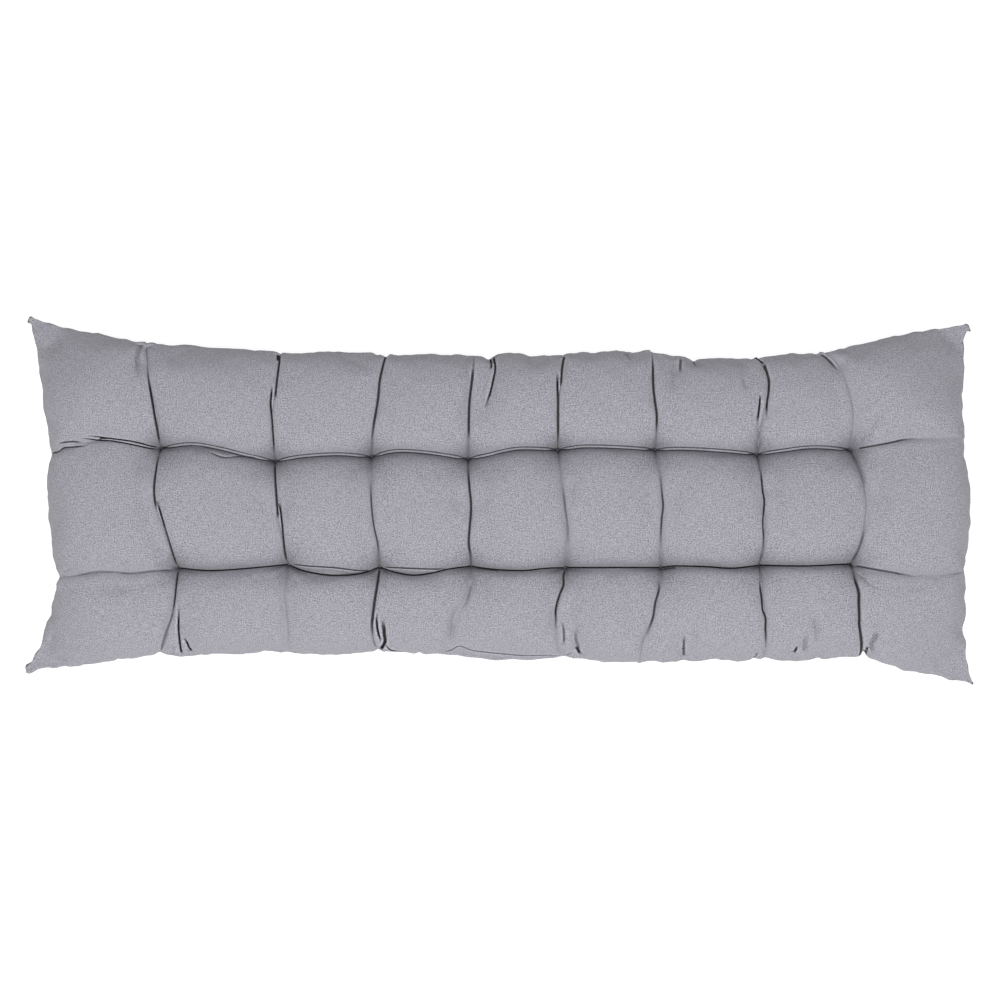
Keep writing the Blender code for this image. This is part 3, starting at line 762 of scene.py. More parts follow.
def draw_lines(cover):
    """Draws the mesh's lines onto the channels and pleats, and returns their smooth routes."""
    shape = bmesh.new()
    shape.from_mesh(cover.data)
    shape.normal_update()
    sharp_edge = shape.edges.layers.float["crease_edge"]
    face = [point for point in shape.verts if point.normal.z > 0]
    tufts = [min(face, key=lambda point: math.dist(point.co.xy, tuft)) for tuft in TUFTS]
    stops = {*tufts, *(point for edge in shape.edges if edge.seam for point in edge.verts)}
    upper = [Pleat(LIP_CLOSING, route) for route in UPPER_CHANNELS]
    lower = [Pleat(ROW_CLOSING, route) for route in LOWER_CHANNELS]
    pulls = []
    drawn = []
    for pleat in [*upper, *lower, *PLEATS]:
        start = min(tufts, key=lambda point: math.dist(point.co.xy, pleat.route[0]))
        heading = (Vector(pleat.route[1]) - Vector(pleat.route[0])).normalized()
        line = line_of_points(start, heading, stops)
        route = drawn_out(pleat.route, line[-1])
        lengths = np.cumsum([0, *(math.dist(a.co.xy, b.co.xy) for a, b in zip(line, line[1:]))])
        at = lengths / lengths[-1] * (len(route) - 1)
        whole = np.arange(len(route))
        goals = np.column_stack([np.interp(at, whole, route[:, axis]) for axis in (0, 1)])
        moves = goals - [point.co.xy for point in line]
        pulls.append((np.array([point.co for point in line]), moves))
        drawn.append(Pleat(pleat.closing, route))
        for before, after in zip(line, line[1:]):
            edge = shape.edges.get((before, after))
            if pleat.closing > SHARP_CLOSING and not edge.seam:
                edge[sharp_edge] = 1
    places = np.array([point.co for point in shape.verts])
    total = np.zeros((len(places), 2))
    weights = np.zeros(len(places))
    for line, moves in pulls:
        gaps = np.linalg.norm(places[:, None] - line[None], axis=2)
        closest = gaps.argmin(1)
        weight = np.clip(1 - gaps.min(1) / DRAW_REACH, 0, 1) ** 2
        total += moves[closest] * weight[:, None]
        weights += weight
    total /= np.maximum(weights, 1)[:, None]
    for point, move in zip(shape.verts, total):
        point.co.xy += Vector(move)
    shape.to_mesh(cover.data)
    shape.free()
    rows = len(upper) + len(lower)
    return drawn[: len(upper)], drawn[len(upper) : rows], drawn[rows:]


def unwrap_as_cut(cover):
    """Lays the two panels out flat at their real size, with the threads along and across the cushion."""
    use_only(cover)
    cover.data.uv_layers.new(name="cloth")
    bpy.ops.object.mode_set(mode="EDIT")
    bpy.ops.mesh.select_all(action="SELECT")
    bpy.ops.uv.unwrap(method="MINIMUM_STRETCH", margin=0.01)
    bpy.ops.object.mode_set(mode="OBJECT")
    mesh = cover.data
    flat = np.empty(len(mesh.loops) * 2)
    mesh.uv_layers["cloth"].data.foreach_get("uv", flat)
    flat = flat.reshape(-1, 2)
    corner_points = np.empty(len(mesh.loops), int)
    mesh.loops.foreach_get("vertex_index", corner_points)
    places = positions(mesh)[corner_points, :2]
    faces_up = np.repeat([face.normal.z > 0 for face in mesh.polygons], [face.loop_total for face in mesh.polygons])
    for panel in (faces_up, ~faces_up):
        known = np.column_stack([flat[panel], np.ones(panel.sum())])
        fit = np.linalg.lstsq(known, places[panel], rcond=None)[0]
        flat[panel] = known @ fit
    mesh.uv_layers["cloth"].data.foreach_set("uv", flat.ravel())


def subdivide(cover, levels):
    """Rounds the faces off by Catmull and Clark's rule, and keeps the result."""
    use_only(cover)
    rounding = cover.modifiers.new("rounding", "SUBSURF")
    rounding.levels = levels
    rounding.render_levels = levels
    rounding.boundary_smooth = "PRESERVE_CORNERS"
    bpy.ops.object.modifier_apply(modifier=rounding.name)


def edge_seam_points(mesh):
    """The numbers of the points on the knife edge."""
    return sorted({point for edge in mesh.edges if edge.use_seam for point in edge.vertices})


def hold_for_filling(cover, lines):
    """Weights the points by how firmly stitches hold them while the cover is filled."""
    surface = Surface(cover.data)
    held = np.zeros(len(surface.places))
    for line in lines:
        points, distance, _ = surface.near(line.route, HOLD_REACH, face_only=False)
        held[points] = np.maximum(held[points], 1 - (distance / HOLD_REACH) ** 2)
    tips = [(x, y) for x in (SOLID_LOW[0], SOLID_HIGH[0]) for y in (SOLID_LOW[1], SOLID_HIGH[1])]
    for spot, reach in [*((tuft, TUFT_REACH * 2) for tuft in brought_in(TUFTS)), *((tip, EAR_LENGTH) for tip in tips)]:
        distance = np.linalg.norm(surface.places[:, :2] - spot, axis=1)
        held = np.where(distance < reach, 1, held)
    held[edge_seam_points(cover.data)] = 1
    group = cover.vertex_groups.new(name="held")
    for point, weight in enumerate(held):
        if weight > 0:
            group.add([point], weight, "REPLACE")


def fill_with_cloth(cover, lines, settings):
    """Blows the cover up like a filled cushion, and keeps the result."""
    before = positions(cover.data)
    hold_for_filling(cover, lines)
    use_only(cover)
    cloth = cover.modifiers.new("filling", "CLOTH")
    cloth.settings.quality = 5
    cloth.settings.mass = 0.2
    cloth.settings.tension_stiffness = 15
    cloth.settings.compression_stiffness = 5
    cloth.settings.shear_stiffness = 3
    cloth.settings.bending_stiffness = 0.15
    cloth.settings.air_damping = 2
    cloth.settings.shrink_min = -settings.slack
    cloth.settings.use_pressure = True
    cloth.settings.uniform_pressure_force = settings.pressure
    cloth.settings.vertex_group_mass = "held"
    cloth.settings.effector_weights.gravity = 0
    cloth.collision_settings.use_collision = False
    cloth.point_cache.frame_start = 1
    cloth.point_cache.frame_end = settings.frames
    for number in range(1, settings.frames + 1):
        bpy.context.scene.frame_set(number)
    bpy.ops.object.modifier_apply(modifier=cloth.name)
    bpy.context.scene.frame_set(1)
    cover.vertex_groups.clear()
    move = positions(cover.data) - before
    length = np.linalg.norm(move, axis=1, keepdims=True)
    move *= np.minimum(1, settings.most_swell / np.maximum(length, 1e-9))
    after = before + move
    after[:, 2] = np.maximum(after[:, 2], 0)
    move_points(cover.data, after)


def divide_beside(cover, routes, reach, longest, face_only=True):
    """Halves the edges within reach of some routes that are too long to carry a crease."""
    surface = Surface(cover.data)
    beside = np.zeros(len(surface.places), bool)
    for route in routes:
        beside[surface.near(np.array(route), reach, face_only)[0]] = True
    shape = bmesh.new()
    shape.from_mesh(cover.data)
    ends = np.array([[point.index for point in edge.verts] for edge in shape.edges])
    lengths = np.linalg.norm(surface.places[ends[:, 0]] - surface.places[ends[:, 1]], axis=1)
    picked = beside[ends].all(1) & (lengths > longest)
    edges = [edge for edge, chosen in zip(shape.edges, picked) if chosen]
    bmesh.ops.subdivide_edges(shape, edges=edges, cuts=1, use_grid_fill=True)
    shape.to_mesh(cover.data)
    shape.free()


def coarsen_underside(cover):
    """Takes out the points that the plain underside doesn't need."""
    use_only(cover)
    mesh = cover.data
    seam = edge_seam_points(mesh)
    tree = KDTree(len(seam))
    for number, point in enumerate(seam):
        tree.insert(mesh.vertices[point].co, number)
    tree.balance()
    bpy.ops.object.mode_set(mode="EDIT")
    bpy.ops.mesh.select_mode(type="VERT")
    bpy.ops.mesh.select_all(action="DESELECT")
    bpy.ops.object.mode_set(mode="OBJECT")
    for point in mesh.vertices:
        point.select = point.normal.z < -0.3 and tree.find(point.co)[2] > UNDERSIDE_MARGIN
    bpy.ops.object.mode_set(mode="EDIT")
    bpy.ops.mesh.unsubdivide(iterations=2)
    bpy.ops.object.mode_set(mode="OBJECT")


def strength_along(share, fades):
    """A crease's strength at a share of its way, where its two ends fade out."""
    rise = np.minimum(1, share / max(fades[0], 1e-6))
    fall = np.minimum(1, (1 - share) / max(fades[1], 1e-6))
    return rise * fall


def press_crease(surface, crease):
    """Presses one crease in, and paints shade inside it and a highlight on its rim."""
    points, _, share = surface.near(crease.route, 6 * crease.width)
    depth = crease.depth * strength_along(share, crease.fades)
    across = np.abs(side_distance(crease.route, surface.places[points, :2], share)[0]) / crease.width
    surface.drop[points] = np.maximum(surface.drop[points], depth * np.exp(-CREASE_STEEPNESS * across))
    surface.paint_crease_shade(points, across, np.clip((depth / crease.width - NO_PAINTED_SHADE_RATIO) / (PAINTED_BLACK_RATIO - NO_PAINTED_SHADE_RATIO), 0, 1))


def press_lips(surface, channels):
    """Presses in the upper row's channels, which carry a narrow lip of cloth between two lines, with shade painted
    along both lines.
    """
    for channel in channels:
        points, _, share = surface.near(channel.route, 0.010)
        distance = np.abs(side_distance(channel.route, surface.places[points, :2], share)[0])
        open_wide = np.minimum(1, np.sin(math.pi * share) * 3)
        across = np.abs(distance - LIP_OFFSET * open_wide) / LIP_WIDTH
        lip = np.exp(-((distance / (LIP_OFFSET * 0.6)) ** 2)) * open_wide
        surface.drop[points] += LIP_DEPTH * np.exp(-across) - LIP_HEIGHT * lip
        surface.paint_crease_shade(points, across, np.full(len(points), LIP_PAINTED_SHADE))


def height_beside(tree, route, side):
    """The pad's height at the trough's brim on one side of a route, for each of the route's points."""
    along = np.gradient(route, axis=0)
    along /= np.linalg.norm(along, axis=1)[:, None]
    brim = route + side * TROUGH_REACH * np.column_stack([-along[:, 1], along[:, 0]])
    some = np.arange(0, len(route), BRIM_STEP)
    hits = [tree.ray_cast(Vector((x, y, 1)), Vector((0, 0, -1)))[0] for x, y in brim[some]]
    known = [(number, hit.z) for number, hit in zip(some, hits) if hit]
    if not known:
        return np.zeros(len(route))
    return np.interp(np.arange(len(route)), *np.transpose(known))


def fill_troughs(cover, lines):
    """Plumps the pads up beside the lines, so that each comes nearly flat to its pleats."""
    surface = Surface(cover.data)
    shape = bmesh.new()
    shape.from_mesh(cover.data)
    tree = BVHTree.FromBMesh(shape)
    shape.free()
    lift = np.zeros(len(surface.places))
    for line, inner_fill, outer_fill in lines:
        left = height_beside(tree, line.route, 1)
        right = height_beside(tree, line.route, -1)
        points, distance, share = surface.near(line.route, TROUGH_REACH)
        foot = np.rint(share * (len(line.route) - 1)).astype(int)
        brim = np.minimum(left, right)[foot]
        falloff = np.clip(2 - 2 * distance / TROUGH_REACH, 0, 1)
        falloff = falloff * falloff * (3 - 2 * falloff)
        outer = outer_share(surface.places[points], line.route[foot])
        fill = inner_fill + (outer_fill - inner_fill) * outer
        filled = fill * np.maximum(0, brim - surface.places[points, 2]) * falloff
        lift[points] = np.maximum(lift[points], filled)
    gaps = np.min([np.linalg.norm(surface.places[:, :2] - tuft, axis=1) for tuft in brought_in(TUFTS)], axis=0)
    surface.drop = -lift * np.minimum(1, gaps / TROUGH_REACH)
    surface.settle()


def close_pleats(cover, pleats):
    """Draws the cloth on both sides of each pleat together over it, less beside its tuft."""
    surface = Surface(cover.data)
    for pleat in pleats:
        points, distance, share = surface.near(pleat.route, 2.5 * CLOSING_REACH, face_only=False)
        foot = pleat.route[np.rint(share * (len(pleat.route) - 1)).astype(int)]
        closing = pleat.closing * np.minimum(1, 0.5 + 2 * share)
        kept = 1 - closing * np.exp(-((distance / CLOSING_REACH) ** 2))
        surface.places[points, :2] = foot + (surface.places[points, :2] - foot) * kept[:, None]
    move_points(cover.data, surface.places)


def nick_seam(cover):
    """Draws the seam in where gathers nick it."""
    for reach, longest in ((0.010, 0.003), (0.008, 0.002)):
        divide_beside(cover, [[nick[:2]] for nick in NICKS], reach, longest, face_only=False)
    surface = Surface(cover.data)
    for x, y, depth, width in NICKS:
        inward = np.array([0, -1 if y > 0 else 1]) if abs(x) < 0.57 else np.array([-1 if x > 0 else 1, 0])
        distance = np.linalg.norm(surface.places[:, :2] - (x, y), axis=1)
        surface.places[:, :2] += inward * (depth * np.exp(-((distance / width) ** 2)))[:, None]
    move_points(cover.data, surface.places)


def shape_ears(cover):
    """Draws the four corners out into their ears, and rounds their tips."""
    corners = [[(side_x * 0.598, side_y * 0.228)] for side_x, side_y, _, _ in EARS]
    for reach, longest in ((0.020, 0.003), (0.016, 0.0015)):
        divide_beside(cover, corners, reach, longest, face_only=False)
    places = positions(cover.data)
    for side_x, side_y, pull, radius in EARS:
        tip = places[np.argmax(places[:, 0] * side_x + places[:, 1] * side_y), :2].copy()
        axis = np.array([side_x * 0.83, side_y * 0.56])
        across = np.array([-axis[1], axis[0]])
        offset = places[:, :2] - tip
        back = np.maximum(-offset @ axis, 1e-5)
        round_off = np.sqrt(np.maximum(0, radius**2 - np.maximum(0, radius - back) ** 2))
        widen = np.clip(round_off / (EAR_SLOPE * back), 1, 5) - 1
        distance = np.linalg.norm(offset, axis=1)
        widen *= np.clip(2 - distance / (2.5 * radius), 0, 1)
        places[:, :2] += across * (offset @ across * widen)[:, None]
        places[:, :2] += np.array(pull) * (np.clip(1 - distance / EAR_LENGTH, 0, 1) ** 1.5)[:, None]
    move_points(cover.data, places)


def outer_share(places, feet):
    """How far places lie on the outer side of a row, from 0 to 1."""
    return np.clip(0.5 + (np.abs(places[:, 1]) - np.abs(feet[:, 1])) / ROW_STEP, 0, 1)


def draw_rows_down(surface, row_lines):
    """Draws the cloth along the rows down, so that the pads crown between them."""
    deepest = np.zeros(len(surface.places))
    for line in row_lines:
        points, distance, share = surface.near(line.route, 2.5 * MIDDLE_DRAW_REACH)
        foot = line.route[np.rint(share * (len(line.route) - 1)).astype(int)]
        outer = outer_share(surface.places[points], foot)
        reach = MIDDLE_DRAW_REACH + (OUTER_DRAW_REACH - MIDDLE_DRAW_REACH) * outer
        deepest[points] = np.maximum(deepest[points], ROW_DRAW * np.exp(-((distance / reach) ** 2)))
    surface.drop += deepest


def draw_tufts_down(cover):
    """Draws the face down round each tuft."""
    surface = Surface(cover.data)
    depth, reach = TUFT_DRAW
    for tuft in brought_in(TUFTS):
        distance = np.linalg.norm(surface.places[:, :2] - tuft, axis=1)
        surface.drop = np.maximum(surface.drop, depth * np.exp(-((distance / reach) ** 2)) * surface.on_face)
    surface.settle()


def paint_shade_between_pads(surface, row_lines):
    """Notes how much shade is painted between the pads, round the tufts and beside the rows."""
    amount, reach = ROW_PAINTED_SHADE
    for line in row_lines:
        points, distance, share = surface.near(line.route, 2.5 * reach)
        outer = outer_share(surface.places[points], line.route[np.rint(share * (len(line.route) - 1)).astype(int)])
        painted_shade_amount = amount * np.exp(-((distance / reach) ** 2)) * (1 - outer)
        surface.inside[points, 2] = np.maximum(surface.inside[points, 2], painted_shade_amount)
    amount, reach = TUFT_PAINTED_SHADE
    for tuft in brought_in(TUFTS):
        offset = surface.places[:, :2] - tuft
        painted_shade_amount = amount * np.exp(-(np.linalg.norm(offset, axis=1) / reach) ** 2) * surface.on_face
        surface.inside[:, 2] = np.maximum(surface.inside[:, 2], painted_shade_amount)


def press_underside(surface, lines):
    """Presses the tufts' channels and pleats into the underside, shallower than in the face."""
    under = ~surface.on_face
    for line in lines:
        points, distance, _ = surface.near(line.route, 0.012, face_only=False)
        below = under[points]
        surface.drop[points[below]] += 0.003 * np.exp(-distance[below] / 0.0025)


def press_tufts(surface, settings):
    """Pulls the tufts in, with small puckers that radiate from them."""
    for number, tuft in enumerate(brought_in(TUFTS)):
        offset = surface.places[:, :2] - tuft
        distance = np.linalg.norm(offset, axis=1)
        near = distance < 0.05
        turn = np.arctan2(offset[near, 1], offset[near, 0])
        radius = distance[near]
        surface.drop[near] += settings.tuft_depth * np.exp(-((radius / settings.tuft_radius) ** 2))
        ripple = np.cos(9 * turn + 1.7 * number) * 0.6 + np.cos(5 * turn + 2.9 * number) * 0.4
        surface.drop[near] += 0.0008 * ripple * np.exp(-((radius - 0.014) / 0.010) ** 2)


def pucker_edge(surface, cover, settings):
    """Puckers the cloth beside the knife edge."""
    seam = edge_seam_points(cover.data)
    tree = KDTree(len(seam))
    for number, point in enumerate(seam):
        tree.insert(surface.places[point], number)
    tree.balance()
    for point, place in enumerate(surface.places):
        nearest, _, distance = tree.find(place)
        if distance > 0.04:
            continue
        ripple = noise.noise(nearest * 48) + 0.6 * noise.noise(nearest * 95 + Vector((3, 1, 7)))
        surface.sink[point] += settings.pucker_height * ripple * math.exp(-distance / 0.011)


def lump_filling(surface, settings):
    """Adds the soft lumps of the filling under the cloth."""
    for point, place in enumerate(surface.places):
        spot = Vector(place)
        lump = noise.noise(spot * 26) + 0.5 * noise.noise(spot * 60)
        surface.sink[point] += settings.lump_height * lump


def keep_off_floor(cover):
    """Rests the cover on the floor, flat where it touches."""
    places = positions(cover.data)
    places[:, 2] = np.maximum(places[:, 2], 0)
    move_points(cover.data, places)


class Nodes:
    """A material's node tree, with short ways to add and join its nodes."""

    def __init__(self, name):
        self.material = bpy.data.materials.new(name)
        self.material.use_nodes = True
        self.tree = self.material.node_tree
        self.shader = self.tree.nodes["Principled BSDF"]

    def add(self, kind, inputs=(), **settings):
        """A node with its settings, and its inputs given as values or as sockets to join."""
        node = self.tree.nodes.new("ShaderNode" + kind)
        for name, value in settings.items():
            setattr(node, name, value)
        for name, value in dict(inputs).items():
            self.put(value, node.inputs[name])
        return node

    def put(self, value, socket):
        """Joins a socket to an input, or sets its value."""
        if isinstance(value, bpy.types.NodeSocket):
            self.tree.links.new(value, socket)
        else:
            socket.default_value = value


def cloth_material(settings):
    """Plain weave in grey yarn, flecked along and across, with a soft nap, with shade painted in the creases, between
    the pads and round the tufts, and a painted highlight on the creases' rims.
    """
    cloth = Nodes("grey plain weave with painted shade")
    laid_flat = cloth.add("UVMap", uv_map="cloth").outputs["UV"]
    streaks = []
    for stretch in ((120, 900, 1), (900, 120, 1)):
        scaled = cloth.add("Mapping", {"Vector": laid_flat, "Scale": stretch}).outputs["Vector"]
        streak = cloth.add("TexNoise", {"Vector": scaled, "Scale": 1.0, "Detail": 2.0, "Roughness": 0.6})
        streaks.append(streak.outputs["Fac"])
    streak = cloth.add("Math", {0: streaks[0], 1: streaks[1]}, operation="ADD").outputs["Value"]
    fleck = cloth.add("TexNoise", {"Vector": laid_flat, "Scale": 850.0, "Detail": 2.0, "Roughness": 0.7})
    even = cloth.add("Math", {0: fleck.outputs["Fac"], 1: 0.7}, operation="MULTIPLY").outputs["Value"]
    total = cloth.add("Math", {0: streak, 1: 0.15, 2: even}, operation="MULTIPLY_ADD").outputs["Value"]
    colour = cloth.add("ValToRGB", {"Fac": total})
    ramp = colour.color_ramp
    ramp.elements[0].position = 0.38
    ramp.elements[1].position = 0.62
    yarn = np.array(settings.colour)
    ramp.elements[0].color = (*(yarn * 0.5), 1)
    ramp.elements[1].color = (*(yarn * 1.5), 1)
    tint = cloth.add("TexNoise", {"Vector": laid_flat, "Scale": 300.0, "Detail": 2.0}).outputs["Fac"]
    tints = cloth.add("ValToRGB", {"Fac": tint})
    tints.color_ramp.elements[0].position = 0.35
    tints.color_ramp.elements[1].position = 0.65
    tints.color_ramp.elements[0].color = (0.97, 1.0, 1.03, 1)
    tints.color_ramp.elements[1].color = (1.03, 0.99, 1.0, 1)
    dyed = cloth.add("Mix", data_type="RGBA", blend_type="MULTIPLY")
    cloth.put(1.0, dyed.inputs[0])
    cloth.put(colour.outputs["Color"], dyed.inputs[6])
    cloth.put(tints.outputs["Color"], dyed.inputs[7])
    # Painted shade: black inside the creases with a painted highlight on their rims, times the shade painted between
    # the pads and round the tufts
    crease = cloth.add("Attribute", attribute_name="crease").outputs["Vector"]
    parts = cloth.add("SeparateXYZ", {"Vector": crease})
    painted_crease_profile = cloth.add("ValToRGB", {"Fac": parts.outputs["X"]})
    stops = painted_crease_profile.color_ramp.elements
    while len(stops) < len(PAINTED_CREASE_TONES):
        stops.new(0.5)
    for stop, (place, tone) in zip(stops, PAINTED_CREASE_TONES):
        stop.position = place
        stop.color = (tone / PAINTED_TONE_PEAK, tone / PAINTED_TONE_PEAK, tone / PAINTED_TONE_PEAK, 1)
    change = cloth.add("Math", {0: painted_crease_profile.outputs["Color"], 1: PAINTED_TONE_PEAK, 2: -1.0}, operation="MULTIPLY_ADD")
    painted_crease_tone = cloth.add("Math", {0: change.outputs[0], 1: parts.outputs["Y"], 2: 1.0}, operation="MULTIPLY_ADD")
    left = cloth.add("Math", {0: 1.0, 1: parts.outputs["Z"]}, operation="SUBTRACT")
    both = cloth.add("Math", {0: painted_crease_tone.outputs["Value"], 1: left.outputs["Value"]}, operation="MULTIPLY")
    colour_with_painted_shade = cloth.add("VectorMath", {0: dyed.outputs[2]}, operation="SCALE")
    cloth.put(both.outputs["Value"], colour_with_painted_shade.inputs["Scale"])
    cloth.put(colour_with_painted_shade.outputs["Vector"], cloth.shader.inputs["Base Color"])

    threads = []
    for direction in ("X", "Y"):
        wave = cloth.add(
            "TexWave",
            {"Vector": laid_flat, "Scale": 1 / settings.thread_pitch / 20 * math.pi, "Distortion": 0.6, "Detail": 1.0},
            bands_direction=direction,
        )
        threads.append(wave.outputs["Fac"])
    weave = cloth.add("Math", {0: threads[0], 1: threads[1]}, operation="MULTIPLY").outputs["Value"]
    relief = cloth.add("Math", {0: fleck.outputs["Fac"], 1: 0.8, 2: weave}, operation="MULTIPLY_ADD")
    bump = cloth.add("Bump", {"Height": relief.outputs["Value"], "Strength": 0.35, "Distance": 0.0004})
    cloth.put(bump.outputs["Normal"], cloth.shader.inputs["Normal"])
    cloth.put(settings.roughness, cloth.shader.inputs["Roughness"])
    cloth.put(0.2, cloth.shader.inputs["Specular IOR Level"])
    cloth.put(0.12, cloth.shader.inputs["Sheen Weight"])
    cloth.put(0.6, cloth.shader.inputs["Sheen Roughness"])
    return cloth.material


class CUSHION_OT_cover(bpy.types.Operator):
    """Make the padded cover over the filled solid"""

    bl_idname = "cushion.cover"
    bl_label = "Cover"

    def execute(self, context):
        settings = context.scene.cushion_cover
        cover = copied_solid("cushion_cover")
        mark_edge_seam(cover)
        lips, row, pleats = draw_lines(cover)
        lines = [*lips, *row, *pleats]
        unwrap_as_cut(cover)
        subdivide(cover, 1)
        fill_with_cloth(cover, lines, settings)
        subdivide(cover, 1)
        surface = Surface(cover.data)
        pucker_edge(surface, cover, settings)
        lump_filling(surface, settings)
        draw_rows_down(surface, [*lips, *row])
        surface.settle()
        row_fills = [(line, MIDDLE_ROW_FILL, OUTER_ROW_FILL) for line in [*lips, *row]]
        fill_troughs(cover, [*row_fills, *((pleat, PLEAT_FILL, PLEAT_FILL) for pleat in pleats)])
        draw_tufts_down(cover)
        close_pleats(cover, lines)
        nick_seam(cover)
        shape_ears(cover)
        rows = [Crease(ROW_DEPTH, ROW_WIDTH, (0.02, 0.02), line.route) for line in row]
        creases = [*rows, *(crease._replace(route=smooth_route(crease.route)) for crease in CREASES)]
        coarsen_underside(cover)
        divide_beside(cover, [line.route for line in [*lips, *creases]], 0.0055, 0.0028)
        divide_beside(cover, [line.route for line in [*lips, *creases]], 0.0030, 0.0019)
        surface = Surface(cover.data)
        for crease in creases:
            gather_to(surface, crease.route, min(GATHER_REACH, GATHER_SPAN * crease.width))
        for lip in lips:
            gather_to(surface, lip.route, LIP_GATHER, LIP_OFFSET)
        # Presses the creases and lips in, paints shade inside them and a highlight on their rims, and paints shade
        # between the pads
        for crease in creases:
            press_crease(surface, crease)
        press_lips(surface, lips)
        paint_shade_between_pads(surface, [*lips, *row])
        press_underside(surface, lines)
        press_tufts(surface, settings)
        surface.keep_painted_shade()
        surface.settle()
        keep_off_floor(cover)
        cover.data.shade_smooth()
        cover.data.materials.append(cloth_material(context.scene.cushion_cloth))
        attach(cover, "root")
        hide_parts("cushion")
        return {"FINISHED"}


def thread_material(settings):
    """Two-ply polyester thread, whose twist shows as slanting bands."""
    thread = Nodes("grey sewing thread")
    place = thread.add("TexCoord").outputs["Object"]
    twist = thread.add(
        "TexWave",
        {"Vector": place, "Scale": 500.0, "Distortion": 1.5, "Detail": 2.0},
        bands_direction="DIAGONAL",
    ).outputs["Fac"]
    colour = thread.add("ValToRGB", {"Fac": twist})
    yarn = np.array(settings.thread_colour)
    colour.color_ramp.elements[0].color = (*(yarn * 0.6), 1)
    colour.color_ramp.elements[1].color = (*(yarn * 1.4), 1)
    thread.put(colour.outputs["Color"], thread.shader.inputs["Base Color"])
    bump = thread.add("Bump", {"Height": twist, "Strength": 0.4, "Distance": 0.0002})
    thread.put(bump.outputs["Normal"], thread.shader.inputs["Normal"])
    thread.put(0.6, thread.shader.inputs["Roughness"])
    thread.put(0.15, thread.shader.inputs["Sheen Weight"])
    return thread.material


def made_in_place():
    """The object that was just added, with its place in its mesh, opened in edit mode."""
    bpy.ops.object.transform_apply(location=True, rotation=True, scale=True)
    bpy.ops.object.mode_set(mode="EDIT")
    bpy.ops.mesh.select_all(action="SELECT")
    return bpy.context.object


def close_shape():
    """Closes the open ends of the shape in edit mode, turns its faces outwards and leaves edit mode."""
    bpy.ops.mesh.select_all(action="SELECT")
    bpy.ops.mesh.fill_holes(sides=0)
    bpy.ops.mesh.select_all(action="SELECT")
    bpy.ops.mesh.normals_make_consistent(inside=False)
    bpy.ops.object.mode_set(mode="OBJECT")


def copies_joined(model, name, spots):
    """Copies a small model to each place and turn, and joins the copies into one piece."""
    copies = []
    for place, turn in spots:
        copy = bpy.data.objects.new(name, model.data.copy())
        copy.location = place
        copy.rotation_euler = turn
        bpy.context.scene.collection.objects.link(copy)
        copies.append(copy)
    bpy.data.objects.remove(model)
    use_only(copies[0])
    for copy in copies:
        copy.select_set(True)
    bpy.ops.object.transform_apply(location=True, rotation=True, scale=True)
    bpy.ops.object.join()
    bpy.context.object.data.shade_smooth()
    return bpy.context.object


def wound_knot(settings):
    """One tuft's knot: three loops of thread wound across one another, with a cut end."""
    bpy.ops.object.select_all(action="DESELECT")
    loop = {
        "major_radius": settings.knot_radius - settings.thread_radius,
        "minor_radius": settings.thread_radius,
        "major_segments": 16,
        "minor_segments": 6,
    }
    bpy.ops.mesh.primitive_torus_add(rotation=(KNOT_TILT, 0, 0), **loop)
    knot = made_in_place()
    for turn in (1, 2):
        bpy.ops.mesh.primitive_torus_add(rotation=(KNOT_TILT, 0, turn * math.tau / 3), **loop)
    bpy.ops.mesh.select_all(action="DESELECT")
    start = Vector((settings.knot_radius * 0.5, 0, 0))
    bpy.ops.mesh.primitive_circle_add(
        vertices=6, radius=settings.thread_radius, location=start, rotation=(0, math.pi / 2, 0)
    )
    for step in ((1.0, 0.2, 0.3), (0.8, 0.6, -0.2), (0.4, 0.8, -0.6)):
        bpy.ops.mesh.extrude_region_move(TRANSFORM_OT_translate={"value": Vector(step) * settings.knot_radius})
    close_shape()
    return knot


def closing_path():
    """Points along the part of the knife edge that was sewn shut last, from its left end to its right."""
    mesh = bpy.data.objects["cushion_cover"].data
    places = np.array([mesh.vertices[number].co for number in edge_seam_points(mesh)])
    low = places[places[:, 1] < 0]
    low = low[np.argsort(low[:, 0])]
    along = np.arange(CLOSING_START, CLOSING_END, LIP_STEP)
    spread = [np.interp(along + shift, low[:, 0], low[:, axis]) for axis in (1, 2) for shift in PATH_SHIFTS]
    y, z = np.mean(np.reshape(spread, (2, len(PATH_SHIFTS), -1)), axis=1)
    return [Vector(place) for place in np.column_stack([along, y, z])]


def folded_lip(path, settings):
    """The folded lip of cloth, extruded along its path from a flat ring, and thin at both ends."""
    bpy.ops.object.select_all(action="DESELECT")
    share = np.linspace(0, 1, len(path))
    swell = 0.2 + 0.8 * np.minimum(1, np.sin(math.pi * share) * 2.5)
    swell *= [1 + 0.25 * noise.noise(place * 60) for place in path]
    bpy.ops.mesh.primitive_circle_add(
        vertices=10, radius=0.5, calc_uvs=False, location=path[0], rotation=(0, math.pi / 2, 0)
    )
    lip = made_in_place()
    size = (1, settings.lip_width * swell[0], settings.lip_thickness * swell[0])
    bpy.ops.transform.resize(value=size, center_override=path[0])
    for before, after, change in zip(path, path[1:], swell[1:] / swell[:-1]):
        bpy.ops.mesh.extrude_region_move(TRANSFORM_OT_translate={"value": after - before})
        bpy.ops.transform.resize(value=(1, change, change), center_override=after)
    close_shape()
    lip.name = "closing_lip"
    lip.data.uv_layers.new(name="cloth")
    bpy.ops.object.mode_set(mode="EDIT")
    bpy.ops.uv.cube_project(cube_size=1.0)
    bpy.ops.object.mode_set(mode="OBJECT")
    subdivide(lip, 1)
    lip.data.shade_smooth()
    return lip


